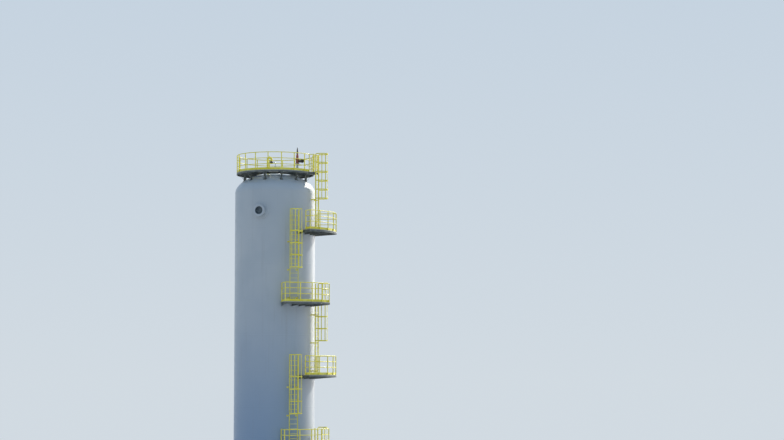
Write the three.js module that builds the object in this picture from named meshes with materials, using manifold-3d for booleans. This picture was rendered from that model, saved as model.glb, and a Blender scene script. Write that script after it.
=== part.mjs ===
// Tall vertical gas pressure vessel on a skirt, with side platforms, caged ladders
// and a round platform over its dished top head.
// Units are millimetres, +Z is up, and the ground is z = 0.
// Angles round the vessel are in degrees: 0 faces -Y, 90 faces +X.

import * as THREE from 'three';
import { mergeVertices } from 'three/addons/utils/BufferGeometryUtils.js';
import Module from 'manifold-3d';

const wasm = await Module();
wasm.setup();

// Driving dimensions of the pressure shell
const SIDES = 40;
const SHELL_RADIUS = 2530;
const WALL = 30;
const BORE_RADIUS = SHELL_RADIUS - WALL;
const HEAD_DEPTH = 1265;
const HEAD_FLANGE = 40;
const HEAD_STEPS = 6;
const SHELL_LOW = 2640;
const SHELL_HIGH = 24900;
const COURSES = 5;
const GAP = 0.3;

// Skirt and foot
const SKIRT_WALL = 20;
const SKIRT_BORE = SHELL_RADIUS + 0.5;
const SKIRT_RADIUS = SKIRT_BORE + SKIRT_WALL;
const SKIRT_LAP = 30;
const BASE_THICKNESS = 40;
const BASE_RADIUS = 2720;
const BASE_BORE = 2400;
const CHAIR_HEIGHT = 260;
const CHAIR_COUNT = 12;
const CHAIR_PLATE = 24;
const CHAIR_REACH = 110;
const CHAIR_RIB = 20;
const ACCESS_RADIUS = 300;
const ACCESS_HEIGHT = 1000;
const ACCESS_ANGLE = 180;
const VENT_RADIUS = 60;
const VENT_HEIGHT = 1900;
const VENT_COUNT = 4;
const VENT_START = 30;

// Round holes are cut from inside the wall to well outside it
const CUT_FROM = 2300;
const CUT_TO = 2900;

// Side platforms, numbered from the ground
const STOREY = 4500;
const SIDE_LEVELS = 5;
const TOP_LEVEL = 26250;
const DECK_RADIUS = 3900;
const DECK_THICKNESS = 30;
const DECK_BORE = 2560;
const BRACKET_ROOT = 220;
const BRACKET_TIP = 120;
const FRAME_DEPTH = 120;
const MIDDLE_BEAM = 3210;
const MIDDLE_BEAM_DEPTH = 100;
const BRACKET_WIDTH = 60;
const PLATFORM_SPAN = 52.5;
const POST_OFFSETS = [0, 12.5, 25, 37.5, PLATFORM_SPAN];

// Ladders stand at two angles and take turns from storey to storey
const LADDER_FRONT = 25;
const LADDER_SIDE = 70;
const SIDE_STEP = 8.5;
const LADDER_RADIUS = 2800;
const STILE_SPACING = 560;
const STILE_DEPTH = 75;
const STILE_WIDTH = 16;
const RUNG = 24;
const RUNG_PITCH = 300;
const LADDER_FOOT = 50;
const CLIP_FOOT = 220;
const CLIP_PITCH = 1750;
const CLIP_HEIGHT = 60;
const LAST_CLIP = 350;
const STILE_END = 100;

// Safety cages
const CAGE_CENTRE = 3100;
const CAGE_RADIUS = 400;
const CAGE_END = 135;
const HOOP_THICKNESS = 8;
const HOOP_HEIGHT = 60;
const CAGE_BARS = [-70, -35, 0, 35, 70];
const CAGE_BAR_WIDTH = 50;
const STEP_BAR = 35;
const SIDE_TOP_HOOP = 1240;
const SIDE_HOOPS = [-110, -860, -1610, -2360];
const TOP_HOOP = 1140;
const TOP_HOOP_PITCH = 563;
const TOP_HOOP_COUNT = 6;

// Railings
const RAIL = 48;
const POST = 60;
const SIDE_RAILS = [1200, 850, 500];
const TOP_RAILS = [1130, 760, 390];
const TOE_HEIGHT = 150;
const TOE_THICKNESS = 10;
const RAIL_INSET = 34;
const STUB_INNER = 3400;

// Top platform
const TOP_RADIUS = 2450;
const TOP_SIDES = 24;
const TOP_HATCH = 1140;
const VALVE_HATCH = 170;
const HATCH_CUT = 400;
const TOP_RING_DEPTH = 100;
const INNER_RING = 1200;
const INNER_RING_DEPTH = 100;
const LEG_RADIUS = 2000;
const LEG_SIZE = 80;
const LEG_COUNT = 12;
const LEG_START = 11;
const LEG_FOOT = 25300;
const LANDING_REACH = 2755;
const LANDING_HALF = 360;
const TOP_POSTS = 18;
const TOP_POST_START = 9;

// Fittings
const TRUNNION_ANGLE = -21;
const TRUNNION_HEIGHT = 23680;
const TRUNNION_BORE = 248;
const TRUNNION_PIPE = 282;
const TRUNNION_COLLAR = 375;
const COLLAR_THICKNESS = 30;
const TRUNNION_PAD = 525;
const TRUNNION_REACH = 330;
const PAD_THICKNESS = 26;
const MANHOLE_RADIUS = 265;
const MANHOLE_FLANGE = 360;
const MANHOLE_TOP = 26620;
const COVER_THICKNESS = 55;
const NECK_START = 25100;
const VALVE_X = 1390;
const VALVE_Y = 0;
// Radius and height of each step of the relief valve, from its neck to its cap
const VALVE_OUTLINE = [
  [75, NECK_START],
  [75, 26860],
  [125, 26860],
  [125, 26920],
  [100, 26920],
  [100, 27150],
  [125, 27150],
  [125, 27200],
  [85, 27200],
  [85, 27420],
  [60, 27420],
  [60, 27700],
  [45, 27700],
  [18, 27920],
];
const OUTLET_FLANGE = 125;
const OUTLET_RADIUS = 80;
const OUTLET_HEIGHT = 27040;
const OUTLET_REACH = 190;
const OUTLET_BEND = 120;
const OUTLET_FACE = -250;
const GOOSENECK_X = -480;
const GOOSENECK_Y = -700;
const GOOSENECK_RADIUS = 70;
const GOOSENECK_BEND = 115;
const GOOSENECK_TOP = 27070;
const VENT_HEAD_RADIUS = 95;
const VENT_HEAD_HEIGHT = 170;
const INLET_RADIUS = 110;
const INLET_BEND = 330;
const INLET_HEIGHT = 800;
const INLET_ANGLE = -90;
const INLET_END = 2700;
const INLET_FLANGE = 170;
const FLANGE_THICKNESS = 40;

const SHELL_PAINT = new THREE.Color(0.62, 0.66, 0.7);
const YELLOW_PAINT = new THREE.Color(0.74, 0.66, 0.18);
const FRAME_PAINT = new THREE.Color(0.16, 0.17, 0.17);
const GALVANISED = new THREE.Color(0.4, 0.41, 0.41);
const VALVE_RED = new THREE.Color(0.36, 0.12, 0.09);

const rad = THREE.MathUtils.degToRad;

// A closed geometry becomes a solid that can be joined or cut
function solid(geometry) {
  const plain = geometry.clone();
  plain.deleteAttribute('normal');
  plain.deleteAttribute('uv');
  const merged = mergeVertices(plain, 1e-3);
  return new wasm.Manifold(new wasm.Mesh({
    numProp: 3,
    vertProperties: merged.attributes.position.array,
    triVerts: new Uint32Array(merged.index.array),
  }));
}

function joined(geometries) {
  return wasm.Manifold.union(geometries.map(solid));
}

function geometryOf(manifold) {
  const mesh = manifold.getMesh();
  const geometry = new THREE.BufferGeometry();
  geometry.setAttribute('position', new THREE.BufferAttribute(mesh.vertProperties, 3));
  geometry.setIndex(new THREE.BufferAttribute(mesh.triVerts, 1));
  geometry.computeVertexNormals();
  return geometry;
}

// Turns a shape drawn with +X pointing away from the vessel axis to its angle
function turned(geometry, angle, radius = 0) {
  geometry.translate(radius, 0, 0);
  geometry.rotateZ(rad(angle - 90));
  return geometry;
}

function lathe(profile, sides = SIDES) {
  const points = profile.map(([radius, z]) => new THREE.Vector2(radius, z));
  return new THREE.LatheGeometry(points, sides).rotateX(Math.PI / 2);
}

// A ring of rectangular section
function ring(inner, outer, low, high, sides = SIDES) {
  return lathe([[inner, low], [outer, low], [outer, high], [inner, high], [inner, low]], sides);
}

function disc(radius, low, high, sides = SIDES) {
  return lathe([[0, low], [radius, low], [radius, high], [0, high]], sides);
}

function upright(radius, low, high, x, y, sides) {
  return disc(radius, low, high, sides).translate(x, y, 0);
}

function evenAngles(from, to, steps) {
  const angles = [];
  for (let i = 0; i <= steps; i += 1) {
    angles.push(from + ((to - from) * i) / steps);
  }
  return angles;
}

function arcPoints(radius, angles) {
  return angles.map(rad).map((a) => new THREE.Vector2(radius * Math.cos(a), radius * Math.sin(a)));
}

// A flat plate with the outline of part of a ring, with corners at angles from +X
function arcPlate(inner, outer, angles, low, high) {
  const outline = [...arcPoints(outer, angles), ...arcPoints(inner, [...angles].reverse())];
  const geometry = new THREE.ExtrudeGeometry(new THREE.Shape(outline), {
    depth: high - low,
    bevelEnabled: false,
  });
  return geometry.translate(0, 0, low);
}

// An upright box at a radius from the vessel axis, with an offset to its side
function block({ radial, across, low, high, radius, offset = 0, angle }) {
  const geometry = new THREE.BoxGeometry(radial, across, high - low);
  geometry.translate(0, offset, (low + high) / 2);
  return turned(geometry, angle, radius);
}

// A horizontal round bar or pipe that points away from the vessel axis
function radialCylinder(radius, from, to, angle, z, sides) {
  const geometry = new THREE.CylinderGeometry(radius, radius, to - from, sides);
  geometry.rotateZ(-Math.PI / 2);
  geometry.translate(0, 0, z);
  return turned(geometry, angle, (from + to) / 2);
}

function paint(color, roughness, metalness) {
  return new THREE.MeshStandardMaterial({ color, roughness, metalness });
}

const vessel = new THREE.Group();

function addPart(name, geometry, material) {
  const mesh = new THREE.Mesh(geometry, material);
  mesh.name = name;
  vessel.add(mesh);
}

const shellPaint = () => paint(SHELL_PAINT, 0.45, 0.0);
const yellowPaint = () => paint(YELLOW_PAINT, 0.5, 0.0);
const framePaint = () => paint(FRAME_PAINT, 0.6, 0.0);

// Half the outline of a dished head, from its crown to its straight flange
function headProfile(radius, depth, tangent, steps) {
  const points = [];
  for (let i = 0; i <= steps; i += 1) {
    const angle = (i / steps) * (Math.PI / 2);
    points.push([radius * Math.sin(angle), tangent + depth * Math.cos(angle)]);
  }
  points[0][0] = 0;
  return points;
}

// The closed outline runs up the inside and back down over the outside
function dishedHead(low) {
  const tangent = low + HEAD_FLANGE;
  const outer = headProfile(SHELL_RADIUS, HEAD_DEPTH, tangent, HEAD_STEPS).reverse();
  const inner = headProfile(BORE_RADIUS, HEAD_DEPTH - WALL, tangent, HEAD_STEPS / 2);
  return lathe([...inner, [BORE_RADIUS, low], [SHELL_RADIUS, low], ...outer]);
}

// Space kept clear of the vessel by everything that is set against it
function vesselKeepOut() {
  const radius = SHELL_RADIUS + GAP;
  const tangent = SHELL_HIGH + HEAD_FLANGE;
  const crown = headProfile(radius, HEAD_DEPTH + GAP, tangent, HEAD_STEPS).reverse();
  const skirtKeep = SKIRT_RADIUS + GAP;
  const skirtTop = SHELL_LOW + GAP;
  const body = lathe([[0, 0], [skirtKeep, 0], [skirtKeep, skirtTop], [radius, skirtTop], ...crown]);
  return solid(body);
}

const keepOut = vesselKeepOut();

function addShell() {
  const height = (SHELL_HIGH - SHELL_LOW) / COURSES;
  for (let i = 0; i < COURSES; i += 1) {
    const low = SHELL_LOW + i * height;
    const high = low + height - GAP;
    addPart(`shell_course_${i + 1}`, ring(BORE_RADIUS, SHELL_RADIUS, low, high), shellPaint());
  }
  addPart('top_head', dishedHead(SHELL_HIGH), shellPaint());
  const bottom = solid(dishedHead(0)).mirror([0, 0, 1]).translate([0, 0, SHELL_LOW - GAP]);
  addPart('bottom_head', geometryOf(bottom), shellPaint());
}

function addFoot() {
  const plates = [ring(BASE_BORE, BASE_RADIUS, 0, BASE_THICKNESS)];
  const chairTop = BASE_THICKNESS + CHAIR_HEIGHT;
  plates.push(ring(SKIRT_RADIUS + GAP, BASE_RADIUS - 20, chairTop - CHAIR_PLATE, chairTop));
  for (let i = 0; i < CHAIR_COUNT; i += 1) {
    plates.push(block({
      radial: CHAIR_REACH,
      across: CHAIR_RIB,
      low: BASE_THICKNESS - 5,
      high: chairTop - 10,
      radius: SKIRT_RADIUS + 75,
      angle: (i * 360) / CHAIR_COUNT,
    }));
  }
  addPart('base_ring', geometryOf(joined(plates)), shellPaint());

  const low = BASE_THICKNESS + GAP;
  let skirt = solid(ring(SKIRT_BORE, SKIRT_RADIUS, low, SHELL_LOW - SKIRT_LAP + HEAD_FLANGE / 2));
  const cuts = [
    radialCylinder(ACCESS_RADIUS, CUT_FROM, CUT_TO, ACCESS_ANGLE, ACCESS_HEIGHT, 16),
    radialCylinder(INLET_RADIUS + 40, CUT_FROM, CUT_TO, INLET_ANGLE, INLET_HEIGHT, 12),
  ];
  for (let i = 0; i < VENT_COUNT; i += 1) {
    const angle = VENT_START + (i * 360) / VENT_COUNT;
    cuts.push(radialCylinder(VENT_RADIUS, CUT_FROM, CUT_TO, angle, VENT_HEIGHT, 8));
  }
  skirt = skirt.subtract(joined(cuts));
  addPart('skirt', geometryOf(skirt), shellPaint());
}

// Pipe along a curve, as a closed solid of few sides
function pipe(path, radius, steps, sides) {
  const section = new THREE.Shape(arcPoints(radius, evenAngles(0, 360, sides).slice(0, sides)));
  return new THREE.ExtrudeGeometry(section, { steps, extrudePath: path, bevelEnabled: false });
}

function quarterBend(centre, start, end) {
  const points = [];
  for (let i = 0; i <= 6; i += 1) {
    const angle = (i / 6) * (Math.PI / 2);
    const point = centre.clone();
    point.addScaledVector(start, Math.cos(angle));
    point.addScaledVector(end, Math.sin(angle));
    points.push(point);
  }
  return points;
}

function addInlet() {
  const bottom = SHELL_LOW - GAP - HEAD_FLANGE - HEAD_DEPTH;
  const centre = new THREE.Vector3(INLET_BEND, 0, INLET_HEIGHT + INLET_BEND);
  const inward = new THREE.Vector3(-INLET_BEND, 0, 0);
  const down = new THREE.Vector3(0, 0, -INLET_BEND);
  const path = new THREE.CatmullRomCurve3([
    new THREE.Vector3(0, 0, bottom - GAP),
    ...quarterBend(centre, inward, down),
    new THREE.Vector3(INLET_END / 2, 0, INLET_HEIGHT),
    new THREE.Vector3(INLET_END, 0, INLET_HEIGHT),
  ], false, 'centripetal');
  const body = turned(pipe(path, INLET_RADIUS, 14, 10), INLET_ANGLE);
  const flangeStart = INLET_END - FLANGE_THICKNESS;
  const flange = radialCylinder(INLET_FLANGE, flangeStart, INLET_END, INLET_ANGLE, INLET_HEIGHT, 16);
  addPart('inlet_pipe', geometryOf(joined([body, flange])), shellPaint());
}

function addTrunnion(name, angle) {
  const face = SHELL_RADIUS + TRUNNION_REACH;
  const z = TRUNNION_HEIGHT;
  const tube = joined([
    radialCylinder(TRUNNION_PIPE, CUT_FROM, face, angle, z, 16),
    radialCylinder(TRUNNION_COLLAR, face - COLLAR_THICKNESS, face, angle, z, 16),
  ]);
  const padLow = z - TRUNNION_PAD - 100;
  const padHigh = z + TRUNNION_PAD + 100;
  const padSkin = solid(ring(BORE_RADIUS, SHELL_RADIUS + PAD_THICKNESS, padLow, padHigh));
  const pad = padSkin.intersect(solid(radialCylinder(TRUNNION_PAD, CUT_FROM, CUT_TO, angle, z, 16)));
  const bore = solid(radialCylinder(TRUNNION_BORE, CUT_FROM, CUT_TO, angle, z, 16));
  const body = tube.add(pad).subtract(bore).subtract(keepOut);
  addPart(name, geometryOf(body), shellPaint());
}

function platformStart(level) {
  const odd = level % 2 === 1;
  return odd ? LADDER_FRONT + SIDE_STEP : LADDER_SIDE - SIDE_STEP - PLATFORM_SPAN;
}

// Angles of the posts, listed from the end where the ladder below steps off
function postAngles(level) {
  const start = platformStart(level);
  const odd = level % 2 === 1;
  return POST_OFFSETS.map((offset) => (odd ? start + offset : start + PLATFORM_SPAN - offset));
}

// The rim is straight from post to post
function cornerAngles(level) {
  return postAngles(level).sort((a, b) => a - b);
}

function addSideDeck(level) {
  const z = level * STOREY;
  const plate = arcPlate(DECK_BORE, DECK_RADIUS, cornerAngles(level), z - DECK_THICKNESS, z);
  addPart(`deck_level_${level}`, turned(plate, 0), paint(GALVANISED, 0.6, 0.6));
}

// A cantilever plate, deep at the shell and shallow at the rim
function bracket(angle, high) {
  const outline = [
    [SHELL_RADIUS - 60, 0],
    [SHELL_RADIUS - 60, -BRACKET_ROOT],
    [SHELL_RADIUS + 60, -BRACKET_ROOT],
    [DECK_RADIUS - 10, -BRACKET_TIP],
    [DECK_RADIUS - 10, 0],
  ].map(([x, y]) => new THREE.Vector2(x, y));
  const plate = new THREE.ExtrudeGeometry(new THREE.Shape(outline), {
    depth: BRACKET_WIDTH,
    bevelEnabled: false,
  });
  plate.rotateX(Math.PI / 2);
  plate.translate(0, BRACKET_WIDTH / 2, high);
  return turned(plate, angle);
}

function addSideFrame(level) {
  const high = level * STOREY - DECK_THICKNESS - GAP;
  const middle = platformStart(level) + PLATFORM_SPAN / 2;
  const corners = cornerAngles(level);
  const low = high - FRAME_DEPTH;
  const parts = [
    turned(arcPlate(DECK_RADIUS - 50, DECK_RADIUS, corners, low, high), 0),
    turned(arcPlate(MIDDLE_BEAM - 30, MIDDLE_BEAM + 30, corners, high - MIDDLE_BEAM_DEPTH, high), 0),
  ];
  const inset = 0.5;
  for (const angle of postAngles(level)) {
    const towards = Math.sign(middle - angle);
    parts.push(bracket(angle + towards * inset, high));
  }
  addPart(`frame_level_${level}`, geometryOf(joined(parts).subtract(keepOut)), framePaint());
}

// A straight rail along a radius, at one angle
function radialRail(inner, outer, angle, z, size = RAIL) {
  return block({
    radial: outer - inner,
    across: size,
    low: z - size / 2,
    high: z + size / 2,
    radius: (inner + outer) / 2,
    angle,
  });
}

function postAt(radius, angle, z, height) {
  return block({ radial: POST, across: POST, low: z + GAP, high: z + height, radius, angle });
}

function addSideRailing(level) {
  const z = level * STOREY;
  const radius = DECK_RADIUS - RAIL_INSET;
  const angles = postAngles(level);
  const towards = Math.sign(angles[4] - angles[0]);
  const inset = THREE.MathUtils.radToDeg(POST / 2 / radius) * towards;
  const stepEnd = angles[0] + inset;
  const farEnd = angles[4] - inset;
  const corners = [stepEnd, ...angles.slice(1, 4), farEnd].sort((a, b) => a - b);
  const arc = (size, low, high) => turned(
    arcPlate(radius - size / 2, radius + size / 2, corners, low, high),
    0,
  );
  const farInner = DECK_BORE + 90;
  const parts = [];
  for (const height of SIDE_RAILS) {
    parts.push(arc(RAIL, z + height - RAIL, z + height));
    parts.push(radialRail(farInner, radius, farEnd, z + height - RAIL / 2));
    parts.push(radialRail(STUB_INNER, radius, stepEnd, z + height - RAIL / 2));
  }
  parts.push(arc(TOE_THICKNESS, z + GAP, z + TOE_HEIGHT));
  for (const [inner, angle] of [[farInner, farEnd], [STUB_INNER, stepEnd]]) {
    parts.push(block({
      radial: radius - inner,
      across: TOE_THICKNESS,
      low: z + GAP,
      high: z + TOE_HEIGHT,
      radius: (inner + radius) / 2,
      angle,
    }));
    parts.push(postAt(inner, angle, z, SIDE_RAILS[0]));
  }
  for (const angle of [stepEnd, ...angles.slice(1, 4), farEnd]) {
    parts.push(postAt(radius, angle, z, SIDE_RAILS[0]));
  }
  addPart(`railing_level_${level}`, geometryOf(joined(parts)), yellowPaint());
}

// The top platform is a full ring with a landing towards the side ladder
function landing(low, high, half = LANDING_HALF, inner = TOP_RADIUS - 90) {
  return block({
    radial: LANDING_REACH - inner,
    across: half * 2,
    low,
    high,
    radius: (inner + LANDING_REACH) / 2,
    angle: LADDER_SIDE,
  });
}

function addTopDeck() {
  const low = TOP_LEVEL - DECK_THICKNESS;
  const plate = joined([
    ring(TOP_HATCH, TOP_RADIUS, low, TOP_LEVEL, TOP_SIDES),
    landing(low, TOP_LEVEL),
  ]);
  const hatch = upright(VALVE_HATCH, TOP_LEVEL - HATCH_CUT, TOP_LEVEL + HATCH_CUT, VALVE_X, VALVE_Y, 12);
  addPart('deck_top', geometryOf(plate.subtract(solid(hatch))), paint(GALVANISED, 0.6, 0.6));
}

function addTopFrame() {
  const high = TOP_LEVEL - DECK_THICKNESS - GAP;
  const parts = [
    ring(TOP_RADIUS - 80, TOP_RADIUS, high - TOP_RING_DEPTH, high, TOP_SIDES),
    ring(TOP_HATCH, INNER_RING, high - INNER_RING_DEPTH, high, TOP_SIDES),
    landing(high - INNER_RING_DEPTH, high, LANDING_HALF - 5, TOP_RADIUS - 40),
  ];
  const beamStart = INNER_RING - 40;
  const beamEnd = TOP_RADIUS - 40;
  for (let i = 0; i < LEG_COUNT; i += 1) {
    const angle = LEG_START + (i * 360) / LEG_COUNT;
    parts.push(block({
      radial: beamEnd - beamStart,
      across: LEG_SIZE,
      low: high - INNER_RING_DEPTH + 10,
      high: high - 5,
      radius: (beamEnd + beamStart) / 2,
      angle,
    }));
    parts.push(block({
      radial: LEG_SIZE,
      across: LEG_SIZE,
      low: LEG_FOOT,
      high: high - 20,
      radius: LEG_RADIUS,
      angle,
    }));
  }
  addPart('frame_top', geometryOf(joined(parts).subtract(keepOut)), framePaint());
}

function addTopRailing() {
  const z = TOP_LEVEL;
  const radius = TOP_RADIUS - RAIL_INSET;
  const gateHalf = SIDE_STEP;
  const gate = [LADDER_SIDE - gateHalf, LADDER_SIDE + gateHalf];
  const posts = evenAngles(TOP_POST_START, TOP_POST_START + 360, TOP_POSTS).slice(0, TOP_POSTS)
    .filter((angle) => Math.abs(angle - LADDER_SIDE) > gateHalf);
  const past = posts.filter((angle) => angle > LADDER_SIDE);
  const before = posts.filter((angle) => angle < LADDER_SIDE).map((angle) => angle + 360);
  const corners = [gate[1], ...past, ...before, gate[0] + 360];
  const arc = (size, low, high) => turned(
    arcPlate(radius - size / 2, radius + size / 2, corners, low, high),
    0,
  );
  const side = STILE_SPACING / 2 + 40;
  const returnStart = radius - POST;
  const returnEnd = LANDING_REACH - RAIL_INSET;
  const returnRail = (offset, low, high) => block({
    radial: returnEnd - returnStart,
    across: RAIL,
    low,
    high,
    radius: (returnEnd + returnStart) / 2,
    offset,
    angle: LADDER_SIDE,
  });
  const parts = [arc(TOE_THICKNESS, z + GAP, z + TOE_HEIGHT)];
  for (const height of TOP_RAILS) {
    parts.push(arc(RAIL, z + height - RAIL, z + height));
    parts.push(returnRail(side, z + height - RAIL, z + height));
    parts.push(returnRail(-side, z + height - RAIL, z + height));
  }
  for (const offset of [side, -side]) {
    parts.push(block({
      radial: POST,
      across: POST,
      low: z + GAP,
      high: z + TOP_RAILS[0],
      radius: LANDING_REACH - 50,
      offset,
      angle: LADDER_SIDE,
    }));
  }
  for (const angle of corners) {
    parts.push(postAt(radius, angle, z, TOP_RAILS[0]));
  }
  addPart('railing_top', geometryOf(joined(parts)), yellowPaint());
}

function ladderAngle(number) {
  return number % 2 === 1 ? LADDER_FRONT : LADDER_SIDE;
}

function levelHeight(number) {
  return number > SIDE_LEVELS ? TOP_LEVEL : number * STOREY;
}

function stiles(low, high, angle, grow = 0) {
  return [-1, 1].map((side) => block({
    radial: STILE_DEPTH + grow * 2,
    across: STILE_WIDTH + grow * 2,
    low,
    high,
    radius: LADDER_RADIUS,
    offset: (side * STILE_SPACING) / 2,
    angle,
  }));
}

// Ladder number n climbs from the level below to level n
function addLadder(number) {
  const angle = ladderAngle(number);
  const isTop = number > SIDE_LEVELS;
  const floor = (number - 1) * STOREY;
  const landingHeight = levelHeight(number);
  const low = floor + LADDER_FOOT;
  const high = landingHeight + (isTop ? TOP_RAILS[0] : SIDE_RAILS[0]);
  const parts = stiles(low, high, angle);
  const lastRung = isTop ? landingHeight + GAP : high - STILE_END;
  for (let z = floor + RUNG_PITCH; z < lastRung; z += RUNG_PITCH) {
    parts.push(block({
      radial: RUNG,
      across: STILE_SPACING,
      low: z - RUNG,
      high: z,
      radius: LADDER_RADIUS,
      angle,
    }));
  }
  const firstClip = Math.max(floor + CLIP_FOOT, BASE_THICKNESS + CHAIR_HEIGHT + CLIP_HEIGHT);
  for (let z = firstClip; z <= landingHeight - LAST_CLIP; z += CLIP_PITCH) {
    for (const side of [-1, 1]) {
      parts.push(block({
        radial: LADDER_RADIUS - SHELL_RADIUS + 60,
        across: STILE_WIDTH,
        low: z,
        high: z + CLIP_HEIGHT,
        radius: (LADDER_RADIUS + SHELL_RADIUS - 60) / 2,
        offset: (side * STILE_SPACING) / 2,
        angle,
      }));
    }
  }
  addPart(`ladder_${number}`, geometryOf(joined(parts).subtract(keepOut)), yellowPaint());
}

// A cage hoop with corners at the given bearings
function hoop(middle, bearings, angle) {
  const inner = CAGE_RADIUS - HOOP_THICKNESS / 2;
  const outer = CAGE_RADIUS + HOOP_THICKNESS / 2;
  const low = middle - HOOP_HEIGHT / 2;
  return turned(arcPlate(inner, outer, bearings, low, low + HOOP_HEIGHT), angle, CAGE_CENTRE);
}

function cageBar(bearing, low, high, angle) {
  const geometry = new THREE.BoxGeometry(HOOP_THICKNESS, CAGE_BAR_WIDTH, high - low);
  geometry.translate(CAGE_RADIUS - HOOP_THICKNESS, 0, (low + high) / 2);
  geometry.rotateZ(rad(bearing));
  return turned(geometry, angle, CAGE_CENTRE);
}

function addCage(number) {
  const angle = ladderAngle(number);
  const isTop = number > SIDE_LEVELS;
  const landingHeight = levelHeight(number);
  const parts = [];
  const wholeHoop = [-CAGE_END, ...CAGE_BARS, CAGE_END];
  if (isTop) {
    const top = landingHeight + TOP_HOOP;
    const low = top - TOP_HOOP_PITCH * (TOP_HOOP_COUNT - 1);
    for (let i = 0; i < TOP_HOOP_COUNT; i += 1) {
      parts.push(hoop(top - i * TOP_HOOP_PITCH, wholeHoop, angle));
    }
    for (const bearing of CAGE_BARS) {
      parts.push(cageBar(bearing, low - HOOP_HEIGHT / 2, top + HOOP_HEIGHT / 2, angle));
    }
  } else {
    const open = number % 2 === 1 ? 1 : -1;
    const top = landingHeight + SIDE_TOP_HOOP;
    const belowDeck = landingHeight + SIDE_HOOPS[0];
    const low = landingHeight + SIDE_HOOPS[SIDE_HOOPS.length - 1];
    parts.push(hoop(top, wholeHoop.filter((bearing) => bearing * open <= STEP_BAR), angle));
    for (const height of SIDE_HOOPS) {
      parts.push(hoop(landingHeight + height, wholeHoop, angle));
    }
    for (const bearing of CAGE_BARS) {
      const high = bearing * open > STEP_BAR ? belowDeck : top;
      parts.push(cageBar(bearing, low - HOOP_HEIGHT / 2, high + HOOP_HEIGHT / 2, angle));
    }
  }
  const clear = joined(stiles(0, landingHeight + STOREY, angle, GAP));
  addPart(`cage_${number}`, geometryOf(joined(parts).subtract(clear)), yellowPaint());
}

function addManhole() {
  const coverLow = MANHOLE_TOP - COVER_THICKNESS;
  const manhole = joined([
    disc(MANHOLE_RADIUS, NECK_START, coverLow, 16),
    disc(MANHOLE_FLANGE, coverLow - COVER_THICKNESS, MANHOLE_TOP, 16),
  ]);
  addPart('top_manhole', geometryOf(manhole.subtract(keepOut)), shellPaint());
}

// The valve's outlet leaves its body sideways and turns to the front
function addReliefValve() {
  const outline = [[0, NECK_START], ...VALVE_OUTLINE, [0, VALVE_OUTLINE[VALVE_OUTLINE.length - 1][1]]];
  const outletX = VALVE_X + OUTLET_REACH + OUTLET_BEND;
  const flangeY = OUTLET_FACE + FLANGE_THICKNESS / 2;
  const bendCentre = new THREE.Vector3(VALVE_X + OUTLET_REACH, VALVE_Y - OUTLET_BEND, OUTLET_HEIGHT);
  const back = new THREE.Vector3(0, OUTLET_BEND, 0);
  const right = new THREE.Vector3(OUTLET_BEND, 0, 0);
  const path = new THREE.CatmullRomCurve3([
    new THREE.Vector3(VALVE_X, VALVE_Y, OUTLET_HEIGHT),
    ...quarterBend(bendCentre, back, right),
    new THREE.Vector3(outletX, flangeY, OUTLET_HEIGHT),
  ], false, 'centripetal');
  const flange = new THREE.CylinderGeometry(OUTLET_FLANGE, OUTLET_FLANGE, FLANGE_THICKNESS, 12);
  const valve = joined([
    lathe(outline, 12).translate(VALVE_X, VALVE_Y, 0),
    pipe(path, OUTLET_RADIUS, 12, 10),
    flange.translate(outletX, flangeY, OUTLET_HEIGHT),
  ]);
  addPart('relief_valve', geometryOf(valve.subtract(keepOut)), paint(VALVE_RED, 0.5, 0.0));
}

// A vent pipe that turns over and ends in a wider head
function addGooseneck() {
  const turnSteps = 8;
  const rise = new THREE.Vector3(GOOSENECK_X, GOOSENECK_Y, NECK_START);
  const turn = evenAngles(180, 0, turnSteps).map(rad).map((angle) => new THREE.Vector3(
    GOOSENECK_X + GOOSENECK_BEND * (1 + Math.cos(angle)),
    GOOSENECK_Y,
    GOOSENECK_TOP + GOOSENECK_BEND * Math.sin(angle),
  ));
  const mouthX = GOOSENECK_X + GOOSENECK_BEND * 2;
  const headHigh = GOOSENECK_TOP - GOOSENECK_BEND;
  const mouth = new THREE.Vector3(mouthX, GOOSENECK_Y, headHigh - 10);
  const path = new THREE.CatmullRomCurve3([rise, ...turn, mouth], false, 'centripetal');
  const gooseneck = joined([
    pipe(path, GOOSENECK_RADIUS, 16, 10),
    upright(VENT_HEAD_RADIUS, headHigh - VENT_HEAD_HEIGHT, headHigh, mouthX, GOOSENECK_Y, 12),
  ]);
  addPart('vent_gooseneck', geometryOf(gooseneck.subtract(keepOut)), yellowPaint());
}

addFoot();
addShell();
addInlet();
addTrunnion('trunnion_front', TRUNNION_ANGLE);
addTrunnion('trunnion_rear', TRUNNION_ANGLE + 180);
for (let level = 1; level <= SIDE_LEVELS; level += 1) {
  addSideDeck(level);
  addSideFrame(level);
  addSideRailing(level);
}
addTopDeck();
addTopFrame();
addTopRailing();
for (let number = 1; number <= SIDE_LEVELS + 1; number += 1) {
  addLadder(number);
  addCage(number);
}
addManhole();
addReliefValve();
addGooseneck();

// The origin is at the middle of the underside of the whole part's box
const box = new THREE.Box3().setFromObject(vessel);
const centre = box.getCenter(new THREE.Vector3());
vessel.position.set(-centre.x, -centre.y, -box.min.z);

export default vessel;
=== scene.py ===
import math

import bmesh
import bpy
from mathutils import Matrix, Vector


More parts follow.
